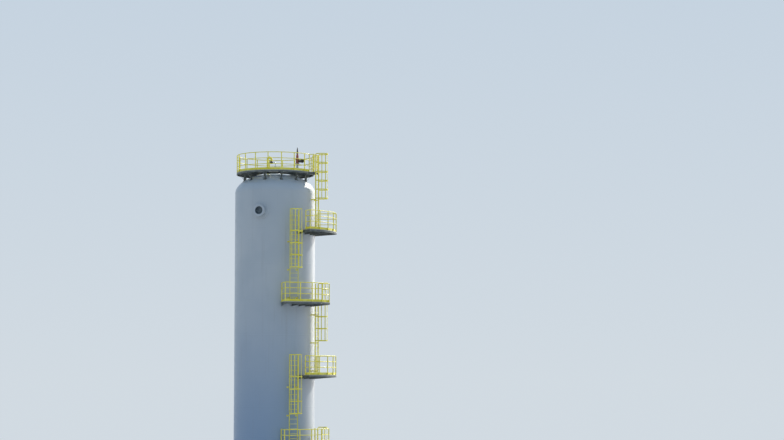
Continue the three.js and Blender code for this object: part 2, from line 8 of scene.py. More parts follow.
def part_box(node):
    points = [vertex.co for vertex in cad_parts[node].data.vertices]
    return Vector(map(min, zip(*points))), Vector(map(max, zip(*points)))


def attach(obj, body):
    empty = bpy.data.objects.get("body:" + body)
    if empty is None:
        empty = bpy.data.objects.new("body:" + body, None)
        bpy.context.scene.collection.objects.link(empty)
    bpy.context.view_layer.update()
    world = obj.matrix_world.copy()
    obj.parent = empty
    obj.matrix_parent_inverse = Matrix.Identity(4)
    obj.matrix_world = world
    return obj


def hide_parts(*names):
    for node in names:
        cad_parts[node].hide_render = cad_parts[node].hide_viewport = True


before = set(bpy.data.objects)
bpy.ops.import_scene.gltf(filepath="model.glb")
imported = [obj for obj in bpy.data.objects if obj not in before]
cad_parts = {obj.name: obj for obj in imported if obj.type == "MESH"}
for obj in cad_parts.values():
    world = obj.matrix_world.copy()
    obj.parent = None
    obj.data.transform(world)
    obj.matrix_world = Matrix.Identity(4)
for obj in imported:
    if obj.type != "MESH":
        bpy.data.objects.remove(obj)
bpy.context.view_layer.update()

# Tall gas pressure vessel: painted shell, grating platforms, caged ladders and fittings.
# Metres, +Z up. Angles round the vessel are in degrees: 0 faces -Y and 90 faces +X.

# The vessel, with its axis, radius and heights taken from the frame
COURSE_LOW, COURSE_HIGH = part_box("shell_course_1")
AXIS_X = (COURSE_LOW.x + COURSE_HIGH.x) / 2
AXIS_Y = (COURSE_LOW.y + COURSE_HIGH.y) / 2
SHELL_RADIUS = (COURSE_HIGH.x - COURSE_LOW.x) / 2
SHELL_LOW = COURSE_LOW.z
SHELL_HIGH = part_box("top_head")[0].z
COURSES = 5
WALL = 0.03
BORE_RADIUS = SHELL_RADIUS - WALL
HEAD_FLANGE = 0.04
HEAD_DEPTH = SHELL_RADIUS / 2
TOUCH_GAP = 0.0003
CHAMFER = 0.004
SUNK = 0.012
OVERLAP = 0.004

# Weld seams of the shell and the heads
PLATES_PER_COURSE = 2
SEAM_STEP = 55
SEAM_END = 0.003
BEAD_WIDTH = 0.028
BEAD_HEIGHT = 0.005
BEAD_ROOT = 0.01
HEAD_SEAMS = 10
HEAD_SEAM_START = 18
CROWN_TURN = math.radians(62)
ROUND_BEAD = 0.009
BEAD_SUNK = 0.004

# Base ring with anchor chairs
BASE_RADIUS = 2.72
BASE_BORE = 2.4
BASE_THICKNESS = 0.04
CHAIR_TOP = 0.3
CHAIR_PLATE = 0.024
CHAIR_RIM = BASE_RADIUS - 0.02
GUSSET_OFFSET = 0.095
GUSSET_THICKNESS = 0.016
GUSSET_INSET = 0.012
ANCHORS = 24
ANCHOR_CIRCLE = 2.64
ANCHOR_SIZE = 0.036
ANCHOR_PLATE_HALF = 0.045
ANCHOR_PLATE = 0.016

# Skirt: each hole has an angle, height, radius and sides, and its sleeve's bore, wall and reach
SKIRT_BORE = SHELL_RADIUS + 0.0005
SKIRT_RADIUS = SKIRT_BORE + 0.02
SKIRT_BEVEL = (0.014, 0.01)
SLEEVE_ROOT = 0.06
SLEEVE_WELD = 0.012
CUT_REACH = 0.3
ACCESS_HOLE = (180, 1.0, 0.29, 48, 0.288, 0.016, 0.07)
INLET_ANGLE = -90
INLET_HEIGHT = 0.8
INLET_HOLE = (INLET_ANGLE, INLET_HEIGHT, 0.15, 40, 0.142, 0.012, 0.05)
VENT_HOLES = [(angle, 1.9, 0.06, 24, 0.054, 0.008, 0.05) for angle in (30, 120, 210, 300)]
LUG_ANGLES = (60, 240)
LUG_HEIGHT = 0.45
LUG_HALF = (0.03, 0.06)
LUG_DEPTH = 0.03

# Inlet pipe with its blank flange
INLET_RADIUS = 0.11
INLET_BEND = 0.33
INLET_JOINT = 2.66
INLET_SEAMS = (0.5, 1.1, 2.0)
INLET_SEAM_HALF = 0.01
INLET_SEAM_RISE = 0.003
INLET_SEAM_ROOT = 0.002
INLET_BOLTS = 12
INLET_BOLT_CIRCLE = 0.142
INLET_BOLT = 0.018
INLET_HEADS = -0.03
INLET_NUTS = 0.014

# Lifting trunnions
TRUNNION_ANGLE = -21
TRUNNION_HEIGHT = 23.68
TRUNNION_REACH = 0.33
TRUNNION_ROOT = 2.45
TRUNNION_BORE = 0.248
TRUNNION_PIPE = 0.282
TRUNNION_COLLAR = 0.375
COLLAR_THICKNESS = 0.03
TRUNNION_WELD = 0.025
TRUNNION_PAD = 0.525
PAD_THICKNESS = 0.026
LINER = 0.005

# Places of the platforms and ladders
STOREY = 4.5
SIDE_LEVELS = 5
TOP_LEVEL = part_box("deck_top")[1].z
DECK_THICKNESS = 0.03
DECK_RADIUS = 3.9
DECK_BORE = 2.56
PLATFORM_SPAN = 52.5
POST_OFFSETS = (0, 12.5, 25, 37.5, PLATFORM_SPAN)
LADDER_FRONT = 25
LADDER_SIDE = 70
SIDE_STEP = 8.5

# Bar grating
BAR_PITCH = 0.03
BAR_WIDTH = 0.005
BAR_DEPTH = DECK_THICKNESS - 0.002
ROD_PITCH = 0.1
ROD_SIZE = 0.007
BAND = 0.006
SHORTEST_BAR = 0.02
SHORTEST_PIECE = 0.01

# Frames of the side platforms
FRAME_DEPTH = 0.12
RIM_FLANGE = 0.05
MIDDLE_BEAM = 3.21
MIDDLE_BEAM_HALF = 0.03
MIDDLE_BEAM_DEPTH = 0.1
INNER_ANGLE_LEG = 0.06
INNER_ANGLE_SHELF = 0.05
CHANNEL_WEB = 0.006
CHANNEL_FLANGE = 0.008
BRACKET_WIDTH = 0.06
BRACKET_ROOT = 0.22
BRACKET_TIP = 0.12
BRACKET_TURN = 0.5
FLANGE_PLATE = 0.01
WEB_PLATE = 0.012
STIFFENERS = (2.9, 3.26)
STIFFENER_HALF = (0.004, 0.028)
BRACKET_PAD_HALF = (0.1, 0.2)
RIM_BOLT_HEIGHTS = (-0.03, -0.08)
FLANGE_BOLTS = (2.72, 3.05, 3.45, 3.7)
RIM_BOLT_OFFSET = 0.02
RIM_BOLT = 0.012
FLANGE_BOLT_OFFSET = 0.018
FLANGE_BOLT = 0.01

# Railings
RAIL_RADIUS = 0.024
MID_RAIL_RADIUS = 0.021
POST_RADIUS = 0.03
SIDE_RAILS = (1.2, 0.85, 0.5)
TOP_RAILS = (1.13, 0.76, 0.39)
TOE_HEIGHT = 0.15
TOE_THICKNESS = 0.008
TOE_GAP = 0.003
RAIL_INSET = 0.034
STUB_INNER = 3.4
FAR_STUB_INNER = DECK_BORE + 0.09
FOOT_PLATE_HALF = (0.039, 0.068)
FOOT_PLATE_SHIFT = 0.006
FOOT_PLATE = 0.012
FOOT_BOLT_OFFSET = 0.05
FOOT_BOLT = 0.012
FOOT_GAP = 0.0005
SIDE_RAIL_TURN = 0.06
TOP_RAIL_TURN = 0.04
GATE_MARGIN = 0.04
GATE_TURN = 1.5

# Top platform
TOP_RADIUS = 2.45
TOP_HATCH = 1.14
VALVE_HATCH = 0.17
TOP_RING_DEPTH = 0.1
TOP_RING_FLANGE = 0.08
TOP_RING_PLATES = (0.007, 0.01)
INNER_RING = 1.2
INNER_RING_PLATES = (0.006, 0.009)
BEAM_DEPTH = 0.09
BEAM_PLATE = 0.008
LEG_SIZE = 0.08
LEG_RADIUS = 2.0
LEG_COUNT = 12
LEG_START = 11
LEG_STEP = 360 / LEG_COUNT
LEG_PAD_HALF = (0.11, 0.1)
LEG_PAD = 0.02
LEG_BOLT = 0.012
LEG_BOLT_OFFSETS = (0.055, 0.025)
KNEE_DROP = 0.3
KNEE_REACH = 0.27
KNEE_WIDTH = 0.05
LANDING_REACH = 2.755
LANDING_HALF = 0.36
LANDING_RODS = (2.5, 2.6, 2.7)
LANDING_BEAM_WIDTH = 0.06
TOP_POSTS = 18
TOP_POST_START = 9

# Ladders
LADDER_RADIUS = 2.8
STILE_SPACING = 0.56
STILE_DEPTH = 0.075
STILE_WIDTH = 0.016
RUNG_RADIUS = 0.012
RUNG_PITCH = 0.3
CLIP_FOOT = 0.22
CLIP_PITCH = 1.75
CLIP_HEIGHT = 0.06
CLIP_REACH = 0.028
CLIP_THICKNESS = 0.008
CLIP_PAD_HALF = (0.006, 0.04)
CLIP_PAD_HEIGHT = 0.1
LAST_CLIP = 0.35
CLIP_BOLT = 0.01
CLIP_BOLT_RISE = 0.014

# Cages, with bearings in degrees round each cage's own centre
CAGE_CENTRE = 3.1
CAGE_RADIUS = 0.4
CAGE_END = 135
CAGE_BARS = (-70, -35, 0, 35, 70)
STEP_BAR = 35
HOOP_THICKNESS = 0.008
CAGE_BAR_WIDTH = 0.05
HOOP_HALF = 0.03
CAGE_BOLT = 0.009
SIDE_TOP_HOOP = 1.24
SIDE_HOOPS = (-0.11, -0.86, -1.61, -2.36)
TOP_HOOP = 1.14
TOP_HOOP_PITCH = 0.563
TOP_HOOP_COUNT = 6

# Manhole, with the davit that carries its cover
MANHOLE_JOINT = 26.56
MANHOLE_COVER = 0.06
MANHOLE_FLANGE = 0.048
MANHOLE_RIM = 0.36
MANHOLE_BORE = 0.235
MANHOLE_NECK = 0.265
MANHOLE_BOLTS = 20
MANHOLE_BOLT_CIRCLE = 0.322
MANHOLE_BOLT = 0.024
DAVIT_REACH = 0.44
DAVIT_LOW = MANHOLE_JOINT - 0.26
DAVIT_HIGH = MANHOLE_JOINT + 0.42
DAVIT_RADIUS = 0.022
DAVIT_TURN = 0.12
DAVIT_POST = 0.032
DAVIT_STRUTS = ((0.1, 0.19), (0.22, 0.1))
EYE_HEIGHT = 0.14
GRIP_HALF = 0.07
GRIP_RADIUS = 0.008
GRIP_OFFSET = 0.2
GRIP_RISE = 0.07

# Relief valve, with its other heights over VALVE_JOINT, where its lowest flanges meet
VALVE_X = 1.39
VALVE_JOINT = 26.89
BONNET_JOINT = 0.285
OUTLET_HEIGHT = 0.15
OUTLET_REACH = 0.19
OUTLET_BEND = 0.12
OUTLET_FACE = -0.25
OUTLET_RADIUS = 0.08
OUTLET_BORE = 0.07
LEVER_HEIGHT = 0.73
LEVER_RADIUS = 0.008
VALVE_BOLTS = 8

# Gooseneck vent
GOOSENECK_X = -0.48
GOOSENECK_Y = -0.70
GOOSENECK_RADIUS = 0.07
GOOSENECK_BEND = 0.115
GOOSENECK_TOP = 27.07
VENT_FLANGE = 26.45
VENT_HEAD_RADIUS = 0.095
VENT_HEAD_HEIGHT = 0.17
VENT_HEAD_LIP = 0.05
WIRE = 0.002
MESH_REACH = 0.08
NOZZLE_ROOT = 0.06

# Sides of the shell that carry painted sunlight, and painted shade on the sunlit rear
PAINTED_SUNLIGHT_SIDE = 130
PAINTED_SHADE_REAR_SIDE = 180

# Floor, light and camera
HORIZON = (0.80, 0.88, 0.95)
ZENITH = (0.50, 0.68, 0.90)
ZENITH_FROM = 0.6
SKY_STRENGTH = 0.8
FLOOR_RADII = (20.0, 60.0, 300.0, 3500.0)
FLOOR_FADE = (55.0, 260.0)
SUN = dict(azimuth=138, elevation=34, energy=6.0, width=2.0, color=(1.0, 0.94, 0.84))
RIM_LIGHT = dict(azimuth=144, elevation=6, energy=0.5, width=30.0, color=(1.0, 0.95, 0.87))
CAMERA_DISTANCE = 122.5
CAMERA_HEIGHT = 13.3
CAMERA_PITCH = 4.67
CAMERA_YAW = -3.465
CAMERA_LENS = 88.9
CAMERA_SENSOR = 36.0
CAMERA_RANGE = 4000.0

SMOOTH_SIDES = 160
SHARP_ANGLE = math.radians(32)
UP = Vector((0, 0, 1))
VESSEL = Matrix.Translation((AXIS_X, AXIS_Y, 0))

# Outlines of a washer, a nut and a stud's end in units of the shank's diameter, with their sides
WASHER = (((0, 0), (1, 0), (1, 0.18), (0, 0.18)), 14)
NUT = (((0, 0), (0.86, 0.01), (0.86, 0.72), (0.7, 0.84), (0, 0.84)), 6)
STUD_END = (((0, 0), (0.5, 0), (0.5, 1.35), (0, 1.43)), 10)
BOLT = (WASHER, NUT)
STUD = (WASHER, NUT, STUD_END)


def heights(node):
    """The lowest and highest Z of a node of the frame."""
    return [corner.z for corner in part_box(node)]


def outward(angle):
    a = math.radians(angle)
    return Vector((math.sin(a), -math.cos(a), 0.0))


def sideways(angle):
    a = math.radians(angle)
    return Vector((math.cos(a), math.sin(a), 0.0))


def at(x, y, z):
    """A point given from the vessel axis, at a height over the ground."""
    return Vector((AXIS_X + x, AXIS_Y + y, z))


def polar(radius, angle, height=0.0, offset=0.0):
    """A point at a radius and angle round the vessel axis, moved sideways by the offset."""
    a = math.radians(angle)
    x = radius * math.sin(a) + offset * math.cos(a)
    y = offset * math.sin(a) - radius * math.cos(a)
    return at(x, y, height)


def on_shell(angle, height, across, rise):
    """A point over the shell, with the distance across measured along its curve."""
    return polar(SHELL_RADIUS + rise, angle + math.degrees(across / SHELL_RADIUS), height)


def placed(x_axis, y_axis, z_axis, origin):
    place = Matrix((x_axis, y_axis, z_axis)).transposed().to_4x4()
    place.translation = origin
    return place


def local_frame(angle, radius=0.0, height=0.0, offset=0.0):
    """Local X points away from the vessel axis, local Y sideways and local Z up."""
    return placed(outward(angle), sideways(angle), UP, polar(radius, angle, height, offset))


def radial_frame(angle, height, radius=0.0):
    """Local Z points away from the vessel axis and local Y up."""
    return placed(sideways(angle), UP, outward(angle), polar(radius, angle, height))


def pointing(axis, origin):
    """Local Z points along the axis."""
    place = Vector(axis).normalized().to_track_quat("Z", "Y").to_matrix().to_4x4()
    place.translation = origin
    return place


def spread(start, end, steps):
    return [start + (end - start) * i / steps for i in range(steps + 1)]


def circle(radius, count, first=0.0):
    """Points round a circle, which start the given part of a step after +X. Radius 0 has one."""
    if radius == 0:
        return [(0, 0)]
    turns = [2 * math.pi * (i + first) / count for i in range(count)]
    return [(radius * math.cos(t), radius * math.sin(t)) for t in turns]


def chord(radius, across):
    """How far a circle reaches along a line that passes its middle at a distance across."""
    return math.sqrt(max(radius * radius - across * across, 0))


def rectangle(left, right, low, high):
    return [(left, low), (right, low), (right, high), (left, high)]


def arc_path(centre, start, end, steps=10):
    """A quarter turn round a centre, from one arm to the other."""
    return [centre + start * math.cos(t) + end * math.sin(t) for t in spread(0, math.pi / 2, steps)]


def rounded_path(points, radius=0.06, steps=6):
    """A path through the points with its corners turned on short arcs."""
    path = [points[0]]
    for before, corner, after in zip(points, points[1:], points[2:]):
        a = before - corner
        b = after - corner
        if math.pi - a.angle(b) < math.radians(12):
            path.append(corner)
            continue
        reach = min(radius, a.length / 2, b.length / 2)
        start = corner + a.normalized() * reach
        end = corner + b.normalized() * reach
        for t in spread(0, 1, steps):
            path.append(start * (1 - t) ** 2 + corner * 2 * t * (1 - t) + end * t * t)
    return path + [points[-1]]


class Shape:
    """Gathers the vertices and faces of one piece."""

    def __init__(self):
        self.vertices = []
        self.faces = []

    def loft(self, rings, closed=False, capped=True, place=None):
        """Joins rings of equal length by quads. A ring may be one point, at a pole."""
        starts = []
        for points in rings:
            starts.append(len(self.vertices))
            if place is not None:
                points = [place @ Vector(point) for point in points]
            self.vertices.extend(tuple(point) for point in points)
        sizes = [len(points) for points in rings]
        for i in range(len(rings) if closed else len(rings) - 1):
            after = (i + 1) % len(rings)
            sides = max(sizes[i], sizes[after])
            for j in range(sides):
                k = (j + 1) % sides
                corners = [starts[i] + j % sizes[i], starts[i] + k % sizes[i],
                           starts[after] + k % sizes[after], starts[after] + j % sizes[after]]
                self.faces.append(tuple(dict.fromkeys(corners)))
        if capped and not closed:
            if sizes[0] > 2:
                self.faces.append(tuple(starts[0] + j for j in reversed(range(sizes[0]))))
            if sizes[-1] > 2:
                self.faces.append(tuple(starts[-1] + j for j in range(sizes[-1])))

    def lathe(self, profile, sides=SMOOTH_SIDES, place=VESSEL):
        """Turns (radius, height) points round the local Z axis, or the vessel axis.

        The points run from one place on the axis to another, or close round a section off it.
        """
        rings = [[(x, y, height) for x, y in circle(radius, sides)] for radius, height in profile]
        self.loft(rings, closed=profile[0][0] > 0, place=place)

    def tube(self, path, radius, sides=12, closed=False):
        """Sweeps a round section along a path."""
        count = len(path)
        tangents = []
        for i in range(count):
            before = path[i - 1] if (i > 0 or closed) else path[i]
            after = path[(i + 1) % count] if (i < count - 1 or closed) else path[i]
            tangents.append((after - before).normalized())
        up = Vector((1, 0, 0)) if abs(tangents[0].z) > 0.9 else UP
        section = circle(radius, sides)
        rings = []
        for point, tangent in zip(path, tangents):
            across = tangent.cross(up)
            if across.length < 1e-4:
                across = tangent.orthogonal()
            across.normalize()
            up = across.cross(tangent).normalized()
            rings.append([point + across * a + up * b for a, b in section])
        self.loft(rings, closed)

    def beam(self, a, b, width, height, up=UP):
        """A box from point a to point b, with its height along up."""
        along = (b - a).normalized()
        across = along.cross(up).normalized() * (width / 2)
        rise = across.cross(along).normalized() * (height / 2)
        rings = []
        for end in (a, b):
            left = end - across
            right = end + across
            rings.append([left - rise, right - rise, right + rise, left + rise])
        self.loft(rings)

    def bar(self, angle, along, across, height, width, depth):
        """A level beam whose two ends lie along and across an angle round the vessel."""
        ends = [polar(radius, angle, height, offset) for radius, offset in zip(along, across)]
        self.beam(*ends, width, depth)

    def prism(self, outline, depth, place):
        """A flat plate with an outline in local X and Y, half its depth each side of local Z."""
        self.loft([[(x, y, z) for x, y in outline] for z in (-depth / 2, depth / 2)], place=place)

    def slab(self, half_x, half_y, depth, place):
        """A rectangular plate, half its size each side of its place."""
        self.prism(rectangle(-half_x, half_x, -half_y, half_y), depth, place)

    def arc_section(self, section, angles):
        """Sweeps a closed (radius, height) section along part of a ring round the vessel axis."""
        rings = [[polar(radius, angle, height) for radius, height in section] for angle in angles]
        whole = abs(angles[-1] - angles[0] - 360) < 1e-6
        self.loft(rings[:-1] if whole else rings, closed=whole)

    def bolt(self, foot, axis, size, parts=BOLT):
        """A hexagon on a washer, and a stud's end where the parts have one. Size is the shank's."""
        place = pointing(axis, foot)
        for outline, sides in parts:
            self.lathe([(radius * size, height * size) for radius, height in outline], sides, place)

    def bolt_circle(self, place, radius, count, size, reaches, parts=BOLT, first=0.5):
        """Bolts round a flange joint. Those with a reach under 0 face the other way."""
        for x, y in circle(radius, count, first):
            for reach in reaches:
                axis = place.to_3x3() @ UP * math.copysign(1, reach)
                self.bolt(place @ Vector((x, y, reach)), axis, size, parts)


def shaded(mesh):
    """Turns the faces out, and shades the mesh smooth between its sharp edges."""
    work = bmesh.new()
    work.from_mesh(mesh)
    bmesh.ops.recalc_face_normals(work, faces=work.faces)
    work.to_mesh(mesh)
    work.free()
    mesh.shade_smooth()
    mesh.set_sharp_from_angle(angle=SHARP_ANGLE)


def linked(name, data):
    """A new object in the scene that shows the data."""
    thing = bpy.data.objects.new(name, data)
    bpy.context.collection.objects.link(thing)
    return thing


def mesh_object(name, shape):
    mesh = bpy.data.meshes.new(name)
    mesh.from_pydata(shape.vertices, [], shape.faces)
    mesh.validate()
    shaded(mesh)
    return linked(name, mesh)


def finish_piece(name, shape, finish, *nodes):
    """Makes a piece in the material of a (material, slot) finish; the slot is not used. It stands for the
    nodes, where it names any.
    """
    material, slot = finish
    piece = mesh_object(name, shape)
    piece.data.materials.append(material)
    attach(piece, "root")
    if nodes:
        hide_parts(*nodes)
    return piece


def cut(piece, cutter):
    """Takes the cutter shape out of a piece."""
    tool = mesh_object("cutter", cutter)
    modifier = piece.modifiers.new("cut", "BOOLEAN")
    modifier.operation = "DIFFERENCE"
    modifier.solver = "EXACT"
    modifier.object = tool
    evaluated = piece.evaluated_get(bpy.context.evaluated_depsgraph_get())
    result = bpy.data.meshes.new_from_object(evaluated)
    piece.modifiers.clear()
    piece.data = result
    shaded(result)
    mesh = tool.data
    bpy.data.objects.remove(tool)
    bpy.data.meshes.remove(mesh)


# Materials


class Nodes:
    """Short calls for the shader nodes of a material or of the world."""

    def __init__(self, owner, shader="Principled BSDF", space="Object"):
        owner.use_nodes = True
        self.owner = owner
        self.tree = owner.node_tree
        self.shader = self.tree.nodes[shader]
        self.coordinates = self.add("ShaderNodeTexCoord").outputs[space]

    def feed(self, node, inputs):
        """Links or sets inputs, each given by its name or number."""
        for key, value in inputs.items():
            socket = node.inputs[key]
            if isinstance(value, bpy.types.NodeSocket):
                self.tree.links.new(value, socket)
            else:
                socket.default_value = (*value, 1.0) if socket.type == "RGBA" else value

    def add(self, kind, inputs=None, **settings):
        node = self.tree.nodes.new(kind)
        for key, value in settings.items():
            setattr(node, key, value)
        self.feed(node, inputs or {})
        return node

    def noise(self, scale, detail, stretch=(1, 1, 1), roughness=0.55):
        mapping = self.add("ShaderNodeMapping", {"Vector": self.coordinates, "Scale": stretch})
        texture = self.add("ShaderNodeTexNoise", {
            "Vector": mapping.outputs["Vector"],
            "Scale": scale,
            "Detail": detail,
            "Roughness": roughness,
        })
        return texture.outputs["Fac"]

    def ramp(self, value, low, high, start=0.0, end=1.0):
        """Goes smoothly from start to end while the value goes from low to high."""
        inputs = {"Value": value, "From Min": low, "From Max": high, "To Min": start, "To Max": end}
        return self.add("ShaderNodeMapRange", inputs, interpolation_type="SMOOTHSTEP").outputs["Result"]

    def patches(self, scale, detail, low, high, start=0.0, end=1.0):
        return self.ramp(self.noise(scale, detail), low, high, start, end)

    def mix(self, factor, a, b):
        return self.add("ShaderNodeMix", {"Factor": factor, 6: a, 7: b}, data_type="RGBA").outputs[2]

    def height(self):
        return self.add("ShaderNodeSeparateXYZ", {0: self.coordinates}).outputs["Z"]

    def facing(self, azimuth):
        """The cosine of the angle round the vessel between a point and an azimuth."""
        kind = "ShaderNodeVectorMath"
        inputs = {0: self.coordinates, 1: (1, 1, 0), 2: (-AXIS_X, -AXIS_Y, 0)}
        level = self.add(kind, inputs, operation="MULTIPLY_ADD").outputs["Vector"]
        unit = self.add(kind, {0: level}, operation="NORMALIZE").outputs["Vector"]
        return self.add(kind, {0: unit, 1: outward(azimuth)}, operation="DOT_PRODUCT").outputs["Value"]

    def finish(self, base, layers, roughness, grain, depth, strength=0.5, metallic=0.0):
        """Lays each (amount, colour) layer over the base, and sets the shine and the bumps."""
        for amount, colour in layers:
            base = self.mix(amount, base, colour)
        bump = self.add("ShaderNodeBump", {"Height": grain, "Distance": depth, "Strength": strength})
        self.feed(self.shader, {
            "Base Color": base,
            "Roughness": roughness,
            "Metallic": metallic,
            "Normal": bump.outputs["Normal"],
        })
        return self.owner


def new_nodes(name):
    return Nodes(bpy.data.materials.new(name))


def shell_paint():
    """Enamel with painted shade that turns it darker and bluer towards the bottom, painted sunlight that
    lightens the side where the sun stands, and painted shade that darkens the sunlit rear.
    """
    n = new_nodes("shell_enamel")
    streaks = n.noise(1.0, 5, (6, 6, 0.22), 0.6)
    rust_spots = n.noise(9.0, 4, (1, 1, 0.35))
    layers = [
        (n.patches(0.35, 3, 0.35, 0.7, end=0.5), (0.445, 0.485, 0.52)),
        # Painted shade: darker and bluer towards the bottom of the shell
        (n.ramp(n.height(), 6.5, 21.5, 1.0, 0.0), (0.178, 0.275, 0.42)),
        # Painted sunlight: lighter on the side where the sun stands, over the painted shade below
        (n.ramp(n.facing(PAINTED_SUNLIGHT_SIDE), -0.25, 0.35), (0.43, 0.46, 0.495)),
        # Painted shade: darker on the rear, where the sun falls most, to tone down its light
        (n.ramp(n.facing(PAINTED_SHADE_REAR_SIDE), 0.0, 0.6), (0.325, 0.35, 0.375)),
        (n.ramp(streaks, 0.55, 0.8, end=0.3), (0.24, 0.25, 0.26)),
        (n.ramp(rust_spots, 0.72, 0.8, end=0.25), (0.28, 0.16, 0.09)),
    ]
    waves_and_peel = n.add("ShaderNodeMath", {0: n.noise(260.0, 2), 1: 0.25, 2: n.noise(0.8, 2)},
                           operation="MULTIPLY_ADD")
    gloss = n.patches(4.0, 4, 0.3, 0.75, 0.30, 0.42)
    return n.finish((0.36, 0.4125, 0.464), layers, gloss, waves_and_peel.outputs[0], 0.004, 0.6)


def yellow_paint():
    """Safety enamel with paler wear, grime that runs down, and chips."""
    n = new_nodes("safety_enamel")
    grime = n.noise(14.0, 5, (1, 1, 0.4))
    layers = [
        (n.patches(2.4, 4, 0.35, 0.72), (0.805, 0.75, 0.13)),
        (n.ramp(grime, 0.56, 0.78, end=0.45), (0.24, 0.20, 0.08)),
        (n.patches(46.0, 3, 0.72, 0.76, end=0.6), (0.20, 0.10, 0.05)),
    ]
    gloss = n.patches(12.0, 3, 0.3, 0.7, 0.36, 0.6)
    return n.finish((0.72, 0.64, 0.045), layers, gloss, n.noise(180.0, 3), 0.0012)


def frame_paint():
    """Dark grey primer with patches of rust."""
    n = new_nodes("frame_enamel")
    layers = [
        (n.patches(3.0, 4, 0.3, 0.7), (0.132, 0.15, 0.147)),
        (n.patches(11.0, 6, 0.6, 0.78, end=0.5), (0.13, 0.065, 0.035)),
    ]
    gloss = n.patches(9.0, 3, 0.3, 0.7, 0.5, 0.75)
    return n.finish((0.074, 0.088, 0.088), layers, gloss, n.noise(120.0, 4), 0.0015)


def galvanised():
    """Zinc with a spangle of crystals and dust in patches."""
    n = new_nodes("galvanised_grating")
    crystals = n.add("ShaderNodeTexVoronoi", {"Vector": n.coordinates, "Scale": 55.0})
    spangle = n.add("ShaderNodeSeparateColor", {0: crystals.outputs["Color"]}).outputs
    layers = [
        (spangle[0], (0.48, 0.495, 0.50)),
        (n.patches(3.5, 5, 0.45, 0.75, end=0.5), (0.30, 0.26, 0.21)),
    ]
    gloss = n.ramp(spangle[1], 0.0, 1.0, 0.42, 0.62)
    return n.finish((0.34, 0.355, 0.36), layers, gloss, n.noise(90.0, 3), 0.0008, metallic=0.7)


def zinc_bolts():
    """Dull zinc that rusts in patches."""
    n = new_nodes("zinc_fixings")
    layers = [(n.patches(25.0, 4, 0.4, 0.7), (0.20, 0.15, 0.11))]
    gloss = n.patches(30.0, 3, 0.3, 0.7, 0.45, 0.7)
    return n.finish((0.36, 0.36, 0.35), layers, gloss, n.noise(200.0, 2), 0.0006, metallic=0.6)


def fitting_paint(name, dark, light):
    """Enamel of two close tones, with dirt in patches."""
    n = new_nodes(name)
    layers = [
        (n.patches(7.0, 4, 0.35, 0.7), light),
        (n.patches(22.0, 5, 0.6, 0.8, end=0.5), (0.09, 0.07, 0.06)),
    ]
    gloss = n.patches(15.0, 3, 0.3, 0.7, 0.4, 0.6)
    return n.finish(dark, layers, gloss, n.noise(150.0, 3), 0.001)


SHELL = (shell_paint(), "shell_paint")
YELLOW = (yellow_paint(), "yellow_paint")
FRAME = (frame_paint(), "frame_paint")
GRATING = (galvanised(), "galvanised_steel")
FIXINGS = (zinc_bolts(), "galvanised_steel")
RED_PAINT = fitting_paint("valve_red_enamel", (0.26, 0.06, 0.04), (0.40, 0.12, 0.08))
DARK_PAINT = fitting_paint("valve_dark_enamel", (0.035, 0.032, 0.035), (0.075, 0.062, 0.058))
# Painted shade: a dark bluish grey for the inside of the trunnion bores
BORE_SHADE_MATERIAL = fitting_paint("bore_painted_shade", (0.105, 0.145, 0.175), (0.17, 0.225, 0.265))
VALVE_RED = (RED_PAINT, "valve_paint")
VALVE_DARK = (DARK_PAINT, "valve_paint")
PAINTED_BORE_SHADE = (BORE_SHADE_MATERIAL, "frame_paint")


# Shell courses and heads


def bead_profile(height):
    """The rise and fall of a girth weld on the outside of the shell."""
    points = [(SHELL_RADIUS, height - BEAD_WIDTH)]
    for step in spread(-1, 1, 6):
        points.append((SHELL_RADIUS + BEAD_HEIGHT * (1 - step * step), height + step * BEAD_WIDTH / 2))
    return points + [(SHELL_RADIUS, height + BEAD_WIDTH)]


def upright_bead(shape, angle, low, high):
    """An upright weld seam, half sunk in the shell."""
    half = BEAD_WIDTH / 2
    section = [(half * math.cos(t), BEAD_HEIGHT * math.sin(t)) for t in spread(0, math.pi, 6)]
    section += [(-half, -BEAD_ROOT), (half, -BEAD_ROOT)]
    rings = []
    for height in (low, high):
        rings.append([polar(SHELL_RADIUS + rise, angle, height, across) for across, rise in section])
    shape.loft(rings)


def build_courses():
    for number in range(1, COURSES + 1):
        node = f"shell_course_{number}"
        low, high = heights(node)
        plate = (high - low) / PLATES_PER_COURSE
        outer = [(SHELL_RADIUS, low)]
        for i in range(1, PLATES_PER_COURSE):
            outer += bead_profile(low + plate * i)
        if number < COURSES:
            outer += bead_profile(high - BEAD_WIDTH)
        else:
            outer.append((SHELL_RADIUS, high))
        shape = Shape()
        shape.lathe(outer + [(BORE_RADIUS, high), (BORE_RADIUS, low)])
        for i in range(PLATES_PER_COURSE):
            turn = SEAM_STEP * (number * PLATES_PER_COURSE + i)
            foot = low + plate * i
            for seam in (turn, turn + 180):
                upright_bead(shape, seam, foot + SEAM_END, foot + plate - SEAM_END)
        finish_piece(f"shell_{number}", shape, SHELL, node)


def head_height(radius):
    """The height of the top head's surface at a radius."""
    return SHELL_HIGH + HEAD_FLANGE + HEAD_DEPTH * math.sqrt(1 - (radius / SHELL_RADIUS) ** 2)


def head_outline(radius, depth, steps):
    """From the rim up to the crown, measured from the tangent line."""
    points = [(radius * math.cos(t), depth * math.sin(t)) for t in spread(0, math.pi / 2, steps)]
    return points[:-1] + [(0, depth)]


def round_seam(shape, radius, height, steps):
    """A closed weld bead round the vessel axis."""
    path = [polar(radius, angle, height) for angle in spread(0, 360, steps)[:-1]]
    shape.tube(path, ROUND_BEAD, 8, closed=True)


